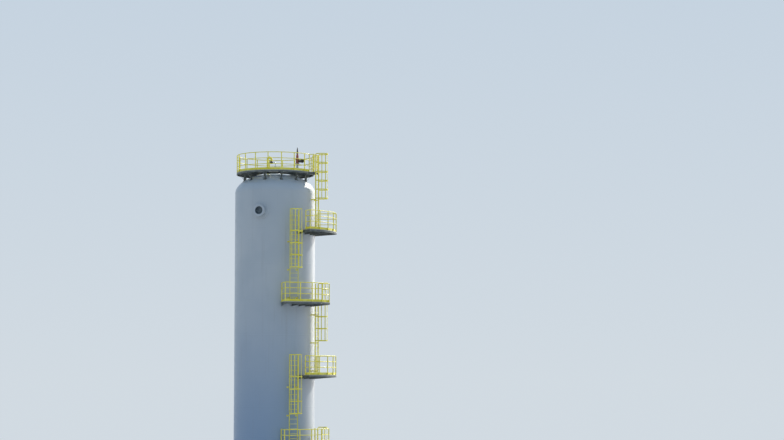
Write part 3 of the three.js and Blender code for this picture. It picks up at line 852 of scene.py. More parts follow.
def build_head(node, tangent, direction):
    """A dished head with its crown above the tangent line (1) or below it (-1)."""
    inner = head_outline(BORE_RADIUS, HEAD_DEPTH - WALL, 32)
    rim = [(BORE_RADIUS, -HEAD_FLANGE), (SHELL_RADIUS, -HEAD_FLANGE)]
    outline = inner[::-1] + rim + head_outline(SHELL_RADIUS, HEAD_DEPTH, 40)
    shape = Shape()
    shape.lathe([(radius, tangent + direction * height) for radius, height in outline])
    for i in range(HEAD_SEAMS):
        angle = HEAD_SEAM_START + i * 360 / HEAD_SEAMS
        path = []
        for turn in spread(0.02, CROWN_TURN, 24):
            height = tangent + direction * HEAD_DEPTH * math.sin(turn)
            path.append(polar(SHELL_RADIUS * math.cos(turn) - BEAD_SUNK, angle, height))
        shape.tube(path, ROUND_BEAD, 8)
    crown = tangent + direction * (HEAD_DEPTH * math.sin(CROWN_TURN) - BEAD_SUNK)
    round_seam(shape, SHELL_RADIUS * math.cos(CROWN_TURN), crown, 96)
    round_seam(shape, SHELL_RADIUS - BEAD_SUNK, tangent - direction * HEAD_FLANGE * 0.8, 160)
    finish_piece(f"{node}_plates", shape, SHELL, node)


# Base, skirt and inlet


def build_base():
    seat = CHAIR_TOP - CHAIR_PLATE
    middle = (BASE_THICKNESS + seat) / 2
    base = Shape()
    base.lathe([(BASE_BORE, 0), (BASE_RADIUS, 0), (BASE_RADIUS, BASE_THICKNESS - CHAMFER),
                (BASE_RADIUS - CHAMFER, BASE_THICKNESS), (BASE_BORE, BASE_THICKNESS)])
    base.lathe(rectangle(SKIRT_RADIUS, CHAIR_RIM, seat, CHAIR_TOP))
    fixings = Shape()
    for i in range(ANCHORS):
        angle = 360 * (i + 0.5) / ANCHORS
        for side in (-GUSSET_OFFSET, GUSSET_OFFSET):
            base.bar(angle, (SKIRT_RADIUS - OVERLAP, CHAIR_RIM - GUSSET_INSET), (side, side), middle,
                     GUSSET_THICKNESS, seat - BASE_THICKNESS + OVERLAP)
        plate = local_frame(angle, ANCHOR_CIRCLE, CHAIR_TOP + ANCHOR_PLATE / 2)
        base.slab(ANCHOR_PLATE_HALF, ANCHOR_PLATE_HALF, ANCHOR_PLATE, plate)
        foot = polar(ANCHOR_CIRCLE, angle, BASE_THICKNESS)
        top = polar(ANCHOR_CIRCLE, angle, CHAIR_TOP)
        fixings.bolt(top + UP * ANCHOR_PLATE, UP, ANCHOR_SIZE, STUD)
        fixings.tube([foot, top], ANCHOR_SIZE / 2)
    finish_piece("base_plates", base, SHELL, "base_ring")
    finish_piece("anchor_bolts", fixings, FIXINGS)


def build_skirt():
    low, high = heights("skirt")
    ring = Shape()
    across, down = SKIRT_BEVEL
    ring.lathe([(SKIRT_BORE, low), (SKIRT_RADIUS, low), (SKIRT_RADIUS, high - down),
                (SKIRT_RADIUS - across, high), (SKIRT_BORE, high)])
    skirt = finish_piece("skirt_plates", ring, SHELL, "skirt")
    cutter = Shape()
    collars = Shape()
    for angle, height, radius, sides, bore, wall, reach in [ACCESS_HOLE, INLET_HOLE] + VENT_HOLES:
        place = radial_frame(angle, height, SKIRT_RADIUS)
        cutter.lathe(rectangle(0, radius, -CUT_REACH, CUT_REACH), sides, place)
        outer = bore + wall
        weld = outer + SLEEVE_WELD
        collars.lathe([(bore, -SLEEVE_ROOT), (bore, reach), (outer, reach), (outer, 0.014),
                       (weld, -OVERLAP), (weld, -SLEEVE_ROOT)], 40, place)
    cut(skirt, cutter)
    for angle in LUG_ANGLES:
        collars.slab(*LUG_HALF, LUG_DEPTH, radial_frame(angle, LUG_HEIGHT, SKIRT_RADIUS + SUNK))
    finish_piece("skirt_collars", collars, SHELL)


def build_inlet():
    """A pipe from the bottom head out through the skirt, closed by a blank flange."""
    out = outward(INLET_ANGLE)
    bottom = SHELL_LOW - HEAD_FLANGE - HEAD_DEPTH
    centre = polar(INLET_BEND, INLET_ANGLE, INLET_HEIGHT + INLET_BEND)
    path = arc_path(centre, -out * INLET_BEND, -UP * INLET_BEND)
    path = [at(0, 0, bottom + 0.02)] + path + [polar(INLET_JOINT - 0.02, INLET_ANGLE, INLET_HEIGHT)]
    shape = Shape()
    shape.tube(path, INLET_RADIUS, 32)
    joint = radial_frame(INLET_ANGLE, INLET_HEIGHT, INLET_JOINT)
    shape.lathe([(0, 0), (0.155, 0), (0.17, 0.004), (0.17, 0.01), (0.166, 0.014), (0.116, 0.014),
                 (0.112, 0.0385), (0.1105, 0.04), (0, 0.04)], 48, joint)
    shape.lathe([(0.11, -0.08), (0.12, -0.08), (0.135, -0.032), (0.17, -0.03), (0.17, -0.004),
                 (0.11, -0.004)], 48, joint)
    for along in INLET_SEAMS:
        root = INLET_RADIUS - INLET_SEAM_ROOT
        bead = [(root, -INLET_SEAM_HALF), (INLET_RADIUS + INLET_SEAM_RISE, 0), (root, INLET_SEAM_HALF)]
        shape.lathe(bead, 32, radial_frame(INLET_ANGLE, INLET_HEIGHT, along))
    finish_piece("inlet_pipework", shape, SHELL, "inlet_pipe")
    bolts = Shape()
    for reach, parts in ((INLET_HEADS, BOLT), (INLET_NUTS, STUD)):
        bolts.bolt_circle(joint, INLET_BOLT_CIRCLE, INLET_BOLTS, INLET_BOLT, [reach], parts)
    for x, y in circle(INLET_BOLT_CIRCLE, INLET_BOLTS, 0.5):
        shank = [joint @ Vector((x, y, z)) for z in (INLET_HEADS, INLET_NUTS + 0.006)]
        bolts.tube(shank, INLET_BOLT / 2, 8)
    finish_piece("inlet_bolts", bolts, FIXINGS)


# Trunnions


def build_trunnion(node, angle):
    """An open pipe with a collar, on a pad that follows the shell."""
    face = SHELL_RADIUS + TRUNNION_REACH
    back = face - COLLAR_THICKNESS
    place = radial_frame(angle, TRUNNION_HEIGHT)
    bore = TRUNNION_BORE
    pipe = TRUNNION_PIPE
    collar = TRUNNION_COLLAR
    weld = pipe + TRUNNION_WELD
    shape = Shape()
    shape.lathe([(bore, TRUNNION_ROOT), (bore, face - CHAMFER), (bore + CHAMFER, face),
                 (collar - CHAMFER, face), (collar, face - CHAMFER), (collar, back + CHAMFER),
                 (collar - CHAMFER, back), (pipe + 0.012, back), (pipe, back - 0.012),
                 (pipe, SHELL_RADIUS + 0.06), (weld, SHELL_RADIUS + TRUNNION_WELD), (weld, TRUNNION_ROOT)],
                72, place)
    pad = TRUNNION_PAD
    flat = PAD_THICKNESS
    rings = []
    for radius, rise in ((0, flat), (0.2, flat), (0.36, flat), (pad - 0.02, flat), (pad - 0.006, 0.022),
                         (pad + 0.004, 0.008), (pad + 0.006, -0.02), (0, -0.02)):
        points = circle(radius, 72)
        rings.append([on_shell(angle, TRUNNION_HEIGHT + up, across, rise) for across, up in points])
    shape.loft(rings)
    finish_piece(f"{node}_pipe", shape, SHELL, node)
    # Painted shade: a dark sheet inside the bore, in the colour of the bore's shadow
    shade_liner = Shape()
    skin = bore - 0.001
    inside = skin - LINER
    floor = SHELL_RADIUS + WALL
    shade_liner.lathe([(0, floor), (skin, floor), (skin, face - 0.02), (inside, face - 0.02),
                 (inside, floor + LINER), (0, floor + LINER)], 72, place)
    finish_piece(f"{node}_liner", shade_liner, PAINTED_BORE_SHADE)


# Decks


def post_angles(level):
    """Listed from the end where the ladder below steps off."""
    if level % 2:
        return [LADDER_FRONT + SIDE_STEP + offset for offset in POST_OFFSETS]
    return [LADDER_SIDE - SIDE_STEP - offset for offset in POST_OFFSETS]


def grating_bar(shape, a, b, width, depth, hole=None):
    """A straight bar, left out where it crosses a round (x, y, radius) hole."""
    line = b - a
    length = line.length
    spans = [(0.0, 1.0)]
    if hole:
        x, y, radius = hole
        to_centre = Vector((x, y, a.z)) - a
        along = to_centre.dot(line) / length
        apart = (to_centre - line * (along / length)).length
        if apart < radius:
            half = chord(radius, apart)
            spans = [(0.0, min((along - half) / length, 1.0)), (max((along + half) / length, 0.0), 1.0)]
    for start, end in spans:
        if (end - start) * length > SHORTEST_PIECE:
            shape.beam(a + line * start, a + line * end, width, depth)


def grating_bay(shape, start, end, inner, outer, height, hole=None):
    """One panel of bar grating that fills part of a ring."""
    angle = (start + end) / 2
    half = math.radians((end - start) / 2)
    slope = math.tan(half)
    middle = height - DECK_THICKNESS / 2
    count = int(outer * math.sin(half) / BAR_PITCH)
    for i in range(-count, count + 1):
        across = i * BAR_PITCH
        near = max(chord(inner, across), abs(across) / slope)
        far = chord(outer, across)
        if far - near >= SHORTEST_BAR:
            a = polar(near, angle, middle, across)
            grating_bar(shape, a, polar(far, angle, middle, across), BAR_WIDTH, BAR_DEPTH, hole)
    first = inner * math.cos(half)
    for i in range(int((outer - first) / ROD_PITCH) + 1):
        along = first + (i + 0.5) * ROD_PITCH
        if along > outer - SHORTEST_BAR:
            continue
        reach = min(along * slope, chord(outer, along))
        if reach < SHORTEST_BAR:
            continue
        spans = [(-reach, reach)]
        if along < inner:
            clear = chord(inner, along)
            spans = [(-reach, -clear), (clear, reach)] if clear < reach else []
        for left, right in spans:
            a = polar(along, angle, height - ROD_SIZE / 2, left)
            b = polar(along, angle, height - ROD_SIZE / 2, right)
            grating_bar(shape, a, b, ROD_SIZE, ROD_SIZE, hole)
    for edge, side in ((start, BAND / 2), (end, -BAND / 2)):
        a = polar(inner, edge, middle, side)
        grating_bar(shape, a, polar(outer, edge, middle, side), BAND, DECK_THICKNESS, hole)


def build_side_deck(level):
    height = level * STOREY
    low = height - DECK_THICKNESS
    angles = sorted(post_angles(level))
    shape = Shape()
    for start, end in zip(angles, angles[1:]):
        grating_bay(shape, start, end, DECK_BORE, DECK_RADIUS, height)
    fine = spread(angles[0], angles[-1], 42)
    shape.arc_section(rectangle(DECK_RADIUS - BAND, DECK_RADIUS, low, height), fine)
    shape.arc_section(rectangle(DECK_BORE, DECK_BORE + BAND, low, height), fine)
    finish_piece(f"grating_level_{level}", shape, GRATING, f"deck_level_{level}")


def build_top_deck():
    """A ring of grating with a middle opening, a hole for the valve's nozzle and a landing."""
    low = TOP_LEVEL - DECK_THICKNESS
    middle = TOP_LEVEL - DECK_THICKNESS / 2
    rod_height = TOP_LEVEL - ROD_SIZE / 2
    shape = Shape()
    for i in range(LEG_COUNT):
        start = LEG_START + LEG_STEP * i
        grating_bay(shape, start, start + LEG_STEP, TOP_HATCH, TOP_RADIUS, TOP_LEVEL,
                    (AXIS_X + VALVE_X, AXIS_Y, VALVE_HATCH))
    shape.arc_section(rectangle(TOP_RADIUS - BAND, TOP_RADIUS, low, TOP_LEVEL), spread(0, 360, 120))
    shape.arc_section(rectangle(TOP_HATCH, TOP_HATCH + BAND, low, TOP_LEVEL), spread(0, 360, 96))
    around_nozzle = Matrix.Translation(at(VALVE_X, 0, 0))
    shape.lathe(rectangle(VALVE_HATCH, VALVE_HATCH + BAND, low, TOP_LEVEL), 40, around_nozzle)
    steps = int(LANDING_HALF / BAR_PITCH)
    for i in range(-steps, steps + 1):
        across = i * BAR_PITCH
        along = (chord(TOP_RADIUS, across), LANDING_REACH)
        shape.bar(LADDER_SIDE, along, (across, across), middle, BAR_WIDTH, BAR_DEPTH)
    sides = (-LANDING_HALF, LANDING_HALF)
    for along in LANDING_RODS:
        shape.bar(LADDER_SIDE, (along, along), sides, rod_height, ROD_SIZE, ROD_SIZE)
    for side in (-LANDING_HALF + BAND / 2, LANDING_HALF - BAND / 2):
        along = (TOP_RADIUS - 0.03, LANDING_REACH)
        shape.bar(LADDER_SIDE, along, (side, side), middle, BAND, DECK_THICKNESS)
    edge = LANDING_REACH - BAND / 2
    shape.bar(LADDER_SIDE, (edge, edge), sides, middle, BAND, DECK_THICKNESS)
    finish_piece("grating_top", shape, GRATING, "deck_top")


# Frames


def channel(inner, outer, low, high, web, flange, open_inward=True):
    """The outline of a channel as (radius, height) points."""
    if open_inward:
        return [(inner, low), (outer, low), (outer, high), (inner, high), (inner, high - flange),
                (outer - web, high - flange), (outer - web, low + flange), (inner, low + flange)]
    return [(inner, low), (outer, low), (outer, low + flange), (inner + web, low + flange),
            (inner + web, high - flange), (outer, high - flange), (outer, high), (inner, high)]


def bracket(shape, pads, angle, high):
    """A tapered cantilever with a web, two flanges and stiffeners, and its pad on the shell."""
    shell = SHELL_RADIUS - SUNK
    root = SHELL_RADIUS + 0.06
    tip = DECK_RADIUS - 0.01
    place = local_frame(angle, 0, high) @ Matrix.Rotation(math.radians(90), 4, "X")
    under = [(shell, -BRACKET_ROOT), (root, -BRACKET_ROOT), (tip, -BRACKET_TIP)]
    lifted = [(x, y + FLANGE_PLATE) for x, y in under]
    shape.prism([(shell, -FLANGE_PLATE)] + lifted + [(tip, -FLANGE_PLATE)], WEB_PLATE, place)
    shape.prism(rectangle(shell, tip, -FLANGE_PLATE, 0), BRACKET_WIDTH, place)
    shape.prism(under + lifted[::-1], BRACKET_WIDTH, place)
    for along in STIFFENERS:
        depth = BRACKET_ROOT + (BRACKET_TIP - BRACKET_ROOT) * (along - root) / (tip - root)
        centre = local_frame(angle, along, high - depth / 2)
        shape.slab(*STIFFENER_HALF, depth - 2 * FLANGE_PLATE, centre)
    wide, tall = BRACKET_PAD_HALF
    middle = high - BRACKET_ROOT / 2
    rings = []
    for inset, rise in ((0, -SUNK), (0, 0.006), (0.006, 0.0115)):
        corners = rectangle(inset - wide, wide - inset, inset - tall, tall - inset)
        rings.append([on_shell(angle, middle + up, across, rise) for across, up in corners])
    pads.loft(rings)


def build_side_frame(level):
    high = level * STOREY - DECK_THICKNESS - TOUCH_GAP
    angles = sorted(post_angles(level))
    middle = (angles[0] + angles[-1]) / 2
    fine = spread(angles[0], angles[-1], 42)
    shape = Shape()
    channels = [
        (DECK_RADIUS - RIM_FLANGE, DECK_RADIUS, high - FRAME_DEPTH),
        (MIDDLE_BEAM - MIDDLE_BEAM_HALF, MIDDLE_BEAM + MIDDLE_BEAM_HALF, high - MIDDLE_BEAM_DEPTH),
    ]
    for inner, outer, low in channels:
        shape.arc_section(channel(inner, outer, low, high, CHANNEL_WEB, CHANNEL_FLANGE), fine)
    leg = high - INNER_ANGLE_LEG
    web = DECK_BORE + CHANNEL_WEB
    shelf = DECK_BORE + INNER_ANGLE_SHELF
    shape.arc_section([(DECK_BORE, leg), (web, leg), (web, high - CHANNEL_WEB), (shelf, high - CHANNEL_WEB),
                       (shelf, high), (DECK_BORE, high)], fine)
    bolts = Shape()
    pads = Shape()
    for angle in angles:
        inset = angle + math.copysign(BRACKET_TURN, middle - angle)
        bracket(shape, pads, inset, high)
        for across in (-RIM_BOLT_OFFSET, RIM_BOLT_OFFSET):
            for up in RIM_BOLT_HEIGHTS:
                bolts.bolt(polar(DECK_RADIUS - 0.001, inset, high + up, across), outward(inset), RIM_BOLT)
        for along in FLANGE_BOLTS:
            foot = polar(along, inset, high - FLANGE_PLATE, FLANGE_BOLT_OFFSET)
            bolts.bolt(foot, -UP, FLANGE_BOLT)
    finish_piece(f"beams_level_{level}", shape, FRAME, f"frame_level_{level}")
    finish_piece(f"bracket_pads_{level}", pads, SHELL)
    finish_piece(f"beam_bolts_{level}", bolts, FIXINGS)


def rolled_beam(shape, angle, near, far, height, width, offset=0.0):
    """A web and two flanges that run away from the vessel axis. The height is the middle's."""
    rise = BEAM_DEPTH / 2 - BEAM_PLATE / 2
    for up, wide, deep in ((0, BEAM_PLATE * 0.8, BEAM_DEPTH - BEAM_PLATE), (rise, width, BEAM_PLATE),
                           (-rise, width, BEAM_PLATE)):
        shape.bar(angle, (near, far), (offset, offset), height + up, wide, deep)


def build_top_frame():
    """Two ring beams and radial beams, on legs that stand on the top head."""
    high = TOP_LEVEL - DECK_THICKNESS - TOUCH_GAP
    low = high - TOP_RING_DEPTH
    middle = high - TOP_RING_DEPTH / 2
    rim = channel(TOP_RADIUS - TOP_RING_FLANGE, TOP_RADIUS, low, high, *TOP_RING_PLATES)
    inner = channel(TOP_HATCH, INNER_RING, low, high, *INNER_RING_PLATES, False)
    shape = Shape()
    bolts = Shape()
    shape.arc_section(rim, spread(0, 360, 120))
    shape.arc_section(inner, spread(0, 360, 96))
    seat = head_height(LEG_RADIUS)
    foot = seat - NOZZLE_ROOT
    head = high - 0.02
    slope = math.atan2(HEAD_DEPTH * LEG_RADIUS / SHELL_RADIUS ** 2,
                       math.sqrt(1 - (LEG_RADIUS / SHELL_RADIUS) ** 2))
    knee = LEG_RADIUS + LEG_SIZE / 2
    for i in range(LEG_COUNT):
        angle = LEG_START + LEG_STEP * i
        rolled_beam(shape, angle, TOP_HATCH + 0.003, TOP_RADIUS - OVERLAP, middle, LEG_SIZE)
        leg = local_frame(angle, LEG_RADIUS, (foot + head) / 2)
        shape.slab(LEG_SIZE / 2, LEG_SIZE / 2, head - foot, leg)
        pad = local_frame(angle, LEG_RADIUS, seat + OVERLAP) @ Matrix.Rotation(slope, 4, "Y")
        shape.slab(*LEG_PAD_HALF, LEG_PAD, pad)
        shape.beam(polar(knee, angle, low - KNEE_DROP), polar(knee + KNEE_REACH, angle, low),
                   KNEE_WIDTH, BEAM_PLATE, up=outward(angle))
        along, across = LEG_BOLT_OFFSETS
        for x, y in rectangle(-along, along, -across, across):
            bolts.bolt(polar(LEG_RADIUS + x, angle, low + 0.006, y), -UP, LEG_BOLT)
    reach = LANDING_REACH - 0.006
    side = LANDING_HALF - 0.035
    for offset in (-side, 0, side):
        rolled_beam(shape, LADDER_SIDE, TOP_RADIUS - 0.02, reach, middle, LANDING_BEAM_WIDTH, offset)
    end = LANDING_HALF - 0.005
    shape.bar(LADDER_SIDE, (reach, reach), (-end, end), middle, BEAM_PLATE, TOP_RING_DEPTH)
    finish_piece("beams_top", shape, FRAME, "frame_top")
    finish_piece("beam_bolts_top", bolts, FIXINGS)


# Railings


def rails_and_posts(shape, height, rails, route, posts, turn):
    """Rails along a route, and posts with bolted foot plates, all as (radius, angle, offset)."""
    fixings = Shape()
    for up in rails:
        z = height + up - RAIL_RADIUS
        corners = [polar(radius, angle, z, offset) for radius, angle, offset in route]
        size = RAIL_RADIUS if up == rails[0] else MID_RAIL_RADIUS
        shape.tube(rounded_path(corners, turn), size, 14)
    for radius, angle, offset in posts:
        foot = polar(radius, angle, height, offset)
        shape.tube([foot + UP * FOOT_PLATE, foot + UP * (rails[0] - RAIL_RADIUS)], POST_RADIUS, 16)
        plate = local_frame(angle, radius - FOOT_PLATE_SHIFT, height + FOOT_PLATE / 2 + FOOT_GAP, offset)
        shape.slab(*FOOT_PLATE_HALF, FOOT_PLATE, plate)
        seat = height + FOOT_PLATE + FOOT_GAP
        for side in (-FOOT_BOLT_OFFSET, FOOT_BOLT_OFFSET):
            fixings.bolt(polar(radius, angle, seat, offset + side), UP, FOOT_BOLT)
    return fixings


def toe_board(shape, radius, height, angles):
    """A kick plate along the inner side of the posts."""
    face = radius - POST_RADIUS
    shape.arc_section(rectangle(face - TOE_THICKNESS, face, height + TOE_GAP, height + TOE_HEIGHT), angles)


def build_side_railing(level):
    """Along the rim, and inwards on both ends: a stub at the ladder, the whole way at the other."""
    height = level * STOREY
    radius = DECK_RADIUS - RAIL_INSET
    angles = post_angles(level)
    towards = math.copysign(1, angles[-1] - angles[0])
    inset = math.degrees(POST_RADIUS / radius) * towards
    step_end = angles[0] + inset
    far_end = angles[-1] - inset
    rim = spread(step_end, far_end, 36)
    near_post = (STUB_INNER, step_end, 0)
    far_post = (FAR_STUB_INNER, far_end, 0)
    posts = [(radius, angle, 0) for angle in [step_end] + angles[1:-1] + [far_end]]
    route = [near_post] + [(radius, angle, 0) for angle in rim] + [far_post]
    shape = Shape()
    posts += [near_post, far_post]
    fixings = rails_and_posts(shape, height, SIDE_RAILS, route, posts, SIDE_RAIL_TURN)
    toe_board(shape, radius, height, rim)
    for inner, angle, side in ((STUB_INNER, step_end, 1), (FAR_STUB_INNER, far_end, -1)):
        offset = side * towards * (POST_RADIUS + TOE_THICKNESS / 2)
        shape.bar(angle, (inner - POST_RADIUS, radius), (offset, offset), height + TOE_HEIGHT / 2,
                  TOE_THICKNESS, TOE_HEIGHT - 2 * TOE_GAP)
    finish_piece(f"rails_level_{level}", shape, YELLOW, f"railing_level_{level}")
    finish_piece(f"rail_bolts_{level}", fixings, FIXINGS)


def build_top_railing():
    """Round the top deck, and out along both sides of the landing."""
    radius = TOP_RADIUS - RAIL_INSET
    start = LADDER_SIDE + SIDE_STEP
    end = LADDER_SIDE - SIDE_STEP + 360
    side = STILE_SPACING / 2 + GATE_MARGIN
    gate = chord(radius, side)
    outer = LANDING_REACH - RAIL_INSET
    route = [(outer, LADDER_SIDE, side), (gate, LADDER_SIDE, side)]
    route += [(radius, angle, 0) for angle in spread(start + GATE_TURN, end - GATE_TURN, 112)]
    route += [(gate, LADDER_SIDE, -side), (outer, LADDER_SIDE, -side)]
    angles = [TOP_POST_START + i * 360 / TOP_POSTS for i in range(TOP_POSTS)]
    angles = [angle for angle in angles if abs(angle - LADDER_SIDE) > SIDE_STEP] + [start, end]
    posts = [(radius, angle, 0) for angle in angles]
    posts += [(LANDING_REACH - 0.05, LADDER_SIDE, offset) for offset in (side, -side)]
    shape = Shape()
    fixings = rails_and_posts(shape, TOP_LEVEL, TOP_RAILS, route, posts, TOP_RAIL_TURN)
    toe_board(shape, radius, TOP_LEVEL, spread(start, end, 112))
    finish_piece("rails_top", shape, YELLOW, "railing_top")
    finish_piece("rail_bolts_top", fixings, FIXINGS)


# Ladders and cages


def ladder_angle(number):
    return LADDER_FRONT if number % 2 else LADDER_SIDE


def level_height(number):
    return TOP_LEVEL if number > SIDE_LEVELS else number * STOREY


def build_ladder(number):
    angle = ladder_angle(number)
    floor = (number - 1) * STOREY
    landing = level_height(number)
    low, high = heights(f"ladder_{number}")
    half = STILE_SPACING / 2
    shape = Shape()
    clips = Shape()
    bolts = Shape()
    for side in (-half, half):
        shape.beam(polar(LADDER_RADIUS, angle, low, side), polar(LADDER_RADIUS, angle, high, side),
                   STILE_WIDTH, STILE_DEPTH, up=outward(angle))
    last = landing + 0.005 if number > SIDE_LEVELS else high - 0.1
    z = floor + RUNG_PITCH
    while z < last:
        a = polar(LADDER_RADIUS, angle, z - RUNG_RADIUS, -half)
        shape.tube([a, polar(LADDER_RADIUS, angle, z - RUNG_RADIUS, half)], RUNG_RADIUS, 10)
        z += RUNG_PITCH
    z = max(floor + CLIP_FOOT, CHAIR_TOP + CLIP_HEIGHT)
    while z <= landing - LAST_CLIP:
        centre = z + CLIP_HEIGHT / 2
        for side in (-1, 1):
            offset = side * (half + 0.01)
            start = chord(SHELL_RADIUS, offset) - SUNK
            clips.bar(angle, (start, LADDER_RADIUS + CLIP_REACH), (offset, offset), centre,
                      CLIP_THICKNESS, CLIP_HEIGHT)
            around = angle + math.degrees(math.asin(offset / SHELL_RADIUS))
            pad = local_frame(around, SHELL_RADIUS + 0.002, centre)
            clips.slab(*CLIP_PAD_HALF, CLIP_PAD_HEIGHT, pad)
            for up in (-CLIP_BOLT_RISE, CLIP_BOLT_RISE):
                foot = polar(LADDER_RADIUS, angle, centre + up, offset + side * CLIP_THICKNESS / 2)
                bolts.bolt(foot, sideways(angle) * side, CLIP_BOLT)
        z += CLIP_PITCH
    finish_piece(f"climbing_ladder_{number}", shape, YELLOW, f"ladder_{number}")
    finish_piece(f"ladder_clips_{number}", clips, YELLOW)
    finish_piece(f"ladder_bolts_{number}", bolts, FIXINGS)


def cage_layout(number):
    """The hoops as (height, first bearing, last bearing), and the bars as (bearing, low, high)."""
    landing = level_height(number)
    if number > SIDE_LEVELS:
        top = landing + TOP_HOOP
        hoops = [(top - i * TOP_HOOP_PITCH, -CAGE_END, CAGE_END) for i in range(TOP_HOOP_COUNT)]
        way = 0
    else:
        top = landing + SIDE_TOP_HOOP
        way = 1 if number % 2 else -1
        ends = (-CAGE_END, STEP_BAR + 2) if way > 0 else (-STEP_BAR - 2, CAGE_END)
        hoops = [(top, *ends)] + [(landing + up, -CAGE_END, CAGE_END) for up in SIDE_HOOPS]
    bars = []
    for bearing in CAGE_BARS:
        high = hoops[1][0] if bearing * way > STEP_BAR else top
        bars.append((bearing, hoops[-1][0] - HOOP_HALF, high + HOOP_HALF))
    return hoops, bars


def build_cage(number):
    angle = ladder_angle(number)
    outer = CAGE_RADIUS + HOOP_THICKNESS / 2
    inner = CAGE_RADIUS - HOOP_THICKNESS / 2

    def away(bearing):
        turn = math.radians(bearing)
        return outward(angle) * math.cos(turn) + sideways(angle) * math.sin(turn)

    def point(bearing, radius, height):
        return polar(CAGE_CENTRE, angle, height) + away(bearing) * radius

    hoops, bars = cage_layout(number)
    shape = Shape()
    bolts = Shape()
    for middle, start, end in hoops:
        section = rectangle(inner, outer, middle - HOOP_HALF, middle + HOOP_HALF)
        shape.loft([[point(b, r, z) for r, z in section] for b in spread(start, end, 36)])
        for bearing, low, high in bars:
            if low - 0.01 <= middle <= high + 0.01 and start - 1 <= bearing <= end + 1:
                bolts.bolt(point(bearing, outer - 0.0005, middle), away(bearing), CAGE_BOLT)
    for bearing, low, high in bars:
        radius = inner - HOOP_THICKNESS / 2 + 0.001
        a = point(bearing, radius, low)
        shape.beam(a, point(bearing, radius, high), CAGE_BAR_WIDTH, HOOP_THICKNESS, up=away(bearing))
    finish_piece(f"safety_cage_{number}", shape, YELLOW, f"cage_{number}")
    finish_piece(f"cage_bolts_{number}", bolts, FIXINGS)


# Fittings on the top head. Their outlines are (radius, height) points.


def build_manhole():
    """A neck with a bolted cover, two grips, and the davit that swings the cover aside."""
    place = Matrix.Translation(at(0, 0, MANHOLE_JOINT))
    base = head_height(MANHOLE_NECK) - 0.03 - MANHOLE_JOINT
    bore = MANHOLE_BORE
    neck = MANHOLE_NECK
    rim = MANHOLE_RIM
    under = -MANHOLE_FLANGE
    cover = MANHOLE_COVER
    shape = Shape()
    shape.lathe([(bore, base), (neck - 0.003, base), (neck + 0.02, base + 0.035), (neck, base + 0.06),
                 (neck, -0.07), (0.29, under), (rim - 0.002, under), (rim, under + CHAMFER), (rim, 0),
                 (bore, 0)], 72, place)
    shape.lathe([(0, 0.004), (rim - 0.002, 0.004), (rim, 0.008), (rim, cover - 0.006),
                 (rim - 0.006, cover), (0, cover)], 72, place)
    low = at(-DAVIT_REACH, 0, DAVIT_LOW)
    top = at(-DAVIT_REACH, 0, DAVIT_HIGH)
    eye = at(0, 0, MANHOLE_JOINT + EYE_HEIGHT)
    arm = [low, top, at(0, 0, DAVIT_HIGH), eye + UP * 0.02]
    shape.tube(rounded_path(arm, DAVIT_TURN, 10), DAVIT_RADIUS, 16)
    shape.tube([low, at(-DAVIT_REACH, 0, MANHOLE_JOINT)], DAVIT_POST, 16)
    for up, reach in DAVIT_STRUTS:
        shape.beam(low + Vector((reach, 0, up)), low + UP * up, 0.06, 0.012)
    shape.lathe(rectangle(0, 0.03, 0.13, 0.17), 16, place)
    for side in (-GRIP_OFFSET, GRIP_OFFSET):
        a, b, c, d = (at(x, side, MANHOLE_JOINT + cover + z)
                      for x, z in rectangle(-GRIP_HALF, GRIP_HALF, -0.002, GRIP_RISE))
        shape.tube(rounded_path([a, d, c, b], 0.03), GRIP_RADIUS, 10)
    shape.tube([eye - UP * 0.09, eye], 0.014)
    finish_piece("manhole_cover", shape, SHELL, "top_manhole")
    bolts = Shape()
    bolts.bolt_circle(place, MANHOLE_BOLT_CIRCLE, MANHOLE_BOLTS, MANHOLE_BOLT, (cover, under), STUD, 0)
    finish_piece("manhole_bolts", bolts, FIXINGS)


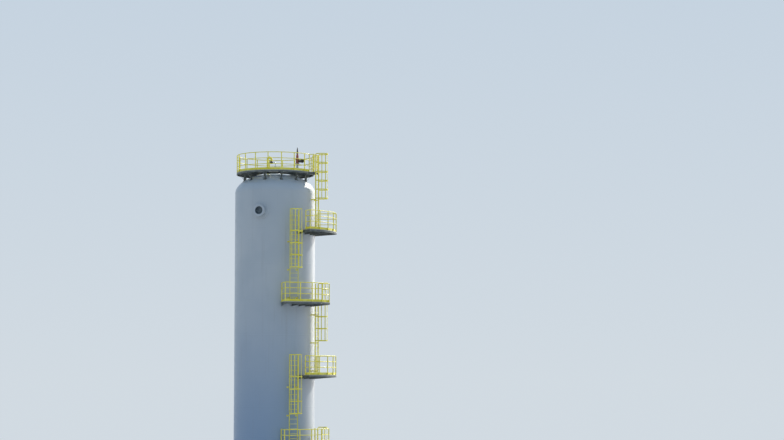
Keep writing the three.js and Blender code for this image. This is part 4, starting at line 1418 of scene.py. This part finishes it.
def build_relief_valve():
    """A nozzle, the valve's body and bonnet, its outlet, and its cap with a lever."""
    joint = at(VALVE_X, 0, VALVE_JOINT)
    place = Matrix.Translation(joint)
    foot = head_height(VALVE_X) - NOZZLE_ROOT - VALVE_JOINT
    nozzle = Shape()
    nozzle.lathe([(0, foot), (0.075, foot), (0.1, foot + 0.05), (0.075, foot + 0.09), (0.075, -0.06),
                  (0.088, -0.032), (0.123, -0.03), (0.125, -0.028), (0.125, -0.002), (0, -0.002)],
                 48, place)
    finish_piece("relief_nozzle", nozzle, SHELL)

    body = Shape()
    body.lathe([(0, 0.002), (0.125, 0.002), (0.125, 0.03), (0.1, 0.032), (0.088, 0.065), (0.1, 0.11),
                (0.1, 0.19), (0.088, 0.24), (0.105, 0.258), (0.125, 0.26), (0.125, 0.283), (0, 0.283)],
               48, place)
    body.lathe([(0, 0.287), (0.125, 0.287), (0.125, 0.31), (0.098, 0.312), (0.086, 0.335), (0.082, 0.41),
                (0.085, 0.51), (0.078, 0.53), (0.062, 0.54), (0.056, 0.58), (0.056, 0.61), (0, 0.61)],
               40, place)
    finish_piece("relief_valve_body", body, VALVE_RED, "relief_valve")

    dark = Shape()
    dark.lathe([(0, 0.6), (0.05, 0.6), (0.06, 0.615), (0.06, 0.65), (0.05, 0.665), (0.05, 0.79),
                (0.046, 0.81), (0.04, 0.87), (0.024, 0.98), (0.018, 1.022), (0.012, 1.03), (0, 1.03)],
               40, place)
    bend = joint + Vector((OUTLET_REACH, -OUTLET_BEND, OUTLET_HEIGHT))
    back = Vector((0, OUTLET_BEND, 0))
    right = Vector((OUTLET_BEND, 0, 0))
    face = bend + right + back + Vector((0, OUTLET_FACE, 0))
    outlet = pointing((0, -1, 0), face)
    path = arc_path(bend, back, right, 14)
    path = [joint + Vector((0.05, 0, OUTLET_HEIGHT))] + path + [face + Vector((0, 0.05, 0))]
    dark.tube(path, OUTLET_RADIUS, 36)
    dark.lathe([(OUTLET_RADIUS, -0.07), (0.1, -0.045), (0.123, -0.04), (0.125, -0.038), (0.125, -0.002),
                (0.123, 0), (OUTLET_BORE, 0), (OUTLET_BORE, -0.07)], 40, outlet)
    lever = joint + UP * LEVER_HEIGHT
    hinge = lever + Vector((0, 0.09, 0.03))
    path = rounded_path([lever + Vector((0, 0.03, 0)), hinge, lever + Vector((-0.02, 0.115, -0.2))], 0.03)
    dark.tube(path, LEVER_RADIUS, 10)
    finish_piece("relief_valve_cap", dark, VALVE_DARK)

    bolts = Shape()
    bonnet = Matrix.Translation(joint + UP * BONNET_JOINT)
    bolts.bolt_circle(place, 0.106, VALVE_BOLTS, 0.014, (0.03, -0.03))
    bolts.bolt_circle(bonnet, 0.108, VALVE_BOLTS, 0.013, (0.0255, -0.0255))
    bolts.bolt_circle(outlet, 0.104, VALVE_BOLTS, 0.015, [-0.04])
    finish_piece("relief_bolts", bolts, FIXINGS)


def build_gooseneck():
    """A pipe that turns down into a vent head with a wire mesh in its mouth."""
    foot = head_height(math.hypot(GOOSENECK_X, GOOSENECK_Y)) - NOZZLE_ROOT
    top = at(GOOSENECK_X, GOOSENECK_Y, GOOSENECK_TOP)
    centre = top + Vector((GOOSENECK_BEND, 0, 0))
    high = GOOSENECK_TOP - GOOSENECK_BEND
    low = high - VENT_HEAD_HEIGHT
    mouth = at(GOOSENECK_X + GOOSENECK_BEND * 2, GOOSENECK_Y, 0)
    path = [at(GOOSENECK_X, GOOSENECK_Y, foot), top - UP * 0.02]
    for turn in spread(math.pi, 0, 24):
        path.append(centre + Vector((math.cos(turn), 0, math.sin(turn))) * GOOSENECK_BEND)
    path.append(mouth + UP * (high - 0.01))
    joint = Matrix.Translation(at(GOOSENECK_X, GOOSENECK_Y, VENT_FLANGE))
    shape = Shape()
    shape.tube(path, GOOSENECK_RADIUS, 40)
    for way in (-1, 1):
        flange = [(0.065, 0.002), (0.115, 0.002), (0.115, 0.022), (0.085, 0.035), (0.065, 0.05)]
        shape.lathe([(radius, way * height) for radius, height in flange], 40, joint)
    finish_piece("vent_pipe", shape, YELLOW, "vent_gooseneck")

    head = Shape()
    outer = VENT_HEAD_RADIUS
    inner = outer - 0.01
    lip = VENT_HEAD_LIP
    head.lathe([(inner, low), (outer, low), (outer, high - 0.03), (outer - 0.02, high), (lip, high),
                (lip, high - 0.012), (inner, high - 0.035)], 48, Matrix.Translation(mouth))
    for step in spread(-MESH_REACH, MESH_REACH, 16):
        half = chord(inner, step)
        for a, b in (((step, -half), (step, half)), ((half, step), (-half, step))):
            head.beam(mouth + Vector((*a, low + 0.01)), mouth + Vector((*b, low + 0.01)), WIRE, WIRE)
    finish_piece("vent_head", head, VALVE_DARK)
    bolts = Shape()
    bolts.bolt_circle(joint, 0.1, VALVE_BOLTS, 0.012, (0.022, -0.022))
    finish_piece("vent_bolts", bolts, FIXINGS)


build_base()
build_skirt()
build_inlet()
build_courses()
build_head("bottom_head", SHELL_LOW - TOUCH_GAP - HEAD_FLANGE, -1)
build_head("top_head", SHELL_HIGH + HEAD_FLANGE, 1)
build_trunnion("trunnion_front", TRUNNION_ANGLE)
build_trunnion("trunnion_rear", TRUNNION_ANGLE + 180)
for side_level in range(1, SIDE_LEVELS + 1):
    build_side_deck(side_level)
    build_side_frame(side_level)
    build_side_railing(side_level)
build_top_deck()
build_top_frame()
build_top_railing()
for ladder_number in range(1, SIDE_LEVELS + 2):
    build_ladder(ladder_number)
    build_cage(ladder_number)
build_manhole()
build_relief_valve()
build_gooseneck()


# Floor, light and camera


def floor_paint():
    """A pale floor that fades into the light of the horizon far from the vessel."""
    n = new_nodes("pale_floor")
    n.feed(n.shader, {"Base Color": (0.40, 0.405, 0.41), "Roughness": 0.9})
    distance = n.add("ShaderNodeVectorMath", {0: n.coordinates}, operation="LENGTH").outputs["Value"]
    glow = n.add("ShaderNodeEmission", {"Color": HORIZON, "Strength": SKY_STRENGTH}).outputs[0]
    fade = n.ramp(distance, *FLOOR_FADE)
    blend = n.add("ShaderNodeMixShader", {0: fade, 1: n.shader.outputs[0], 2: glow}).outputs[0]
    n.feed(n.tree.nodes["Material Output"], {"Surface": blend})
    return n.owner


def build_floor():
    shape = Shape()
    rings = [[(x, y, 0) for x, y in circle(radius, 96)] for radius in reversed(FLOOR_RADII)]
    shape.loft(rings + [[(0, 0, 0)]], capped=False)
    floor = mesh_object("floor", shape)
    floor.data.materials.append(floor_paint())


def add_sun(name, azimuth, elevation, energy, width, color):
    sun = bpy.data.lights.new(name, "SUN")
    sun.energy = energy
    sun.angle = math.radians(width)
    sun.color = color
    rise = math.radians(elevation)
    towards = outward(azimuth) * math.cos(rise) + UP * math.sin(rise)
    lamp = linked(name, sun)
    lamp.rotation_mode = "QUATERNION"
    lamp.rotation_quaternion = towards.to_track_quat("Z", "Y")


def build_light():
    world = bpy.data.worlds.new("studio")
    bpy.context.scene.world = world
    n = Nodes(world, "Background", "Generated")
    inputs = {"Value": n.height(), "From Min": 0.0, "From Max": ZENITH_FROM}
    rise = n.add("ShaderNodeMapRange", inputs).outputs["Result"]
    n.feed(n.shader, {"Color": n.mix(rise, HORIZON, ZENITH), "Strength": SKY_STRENGTH})
    add_sun("sun", **SUN)
    add_sun("rim", **RIM_LIGHT)


def build_camera():
    """Stands where the photograph was taken, in front of the vessel."""
    camera = bpy.data.cameras.new("camera")
    camera.sensor_width = CAMERA_SENSOR
    camera.lens = CAMERA_LENS
    camera.clip_end = CAMERA_RANGE
    holder = linked("camera", camera)
    holder.location = at(0, -CAMERA_DISTANCE, CAMERA_HEIGHT)
    holder.rotation_euler = (math.radians(90 + CAMERA_PITCH), 0, math.radians(CAMERA_YAW))
    bpy.context.scene.camera = holder


build_floor()
build_light()
build_camera()
bpy.context.scene.view_settings.view_transform = "Standard"
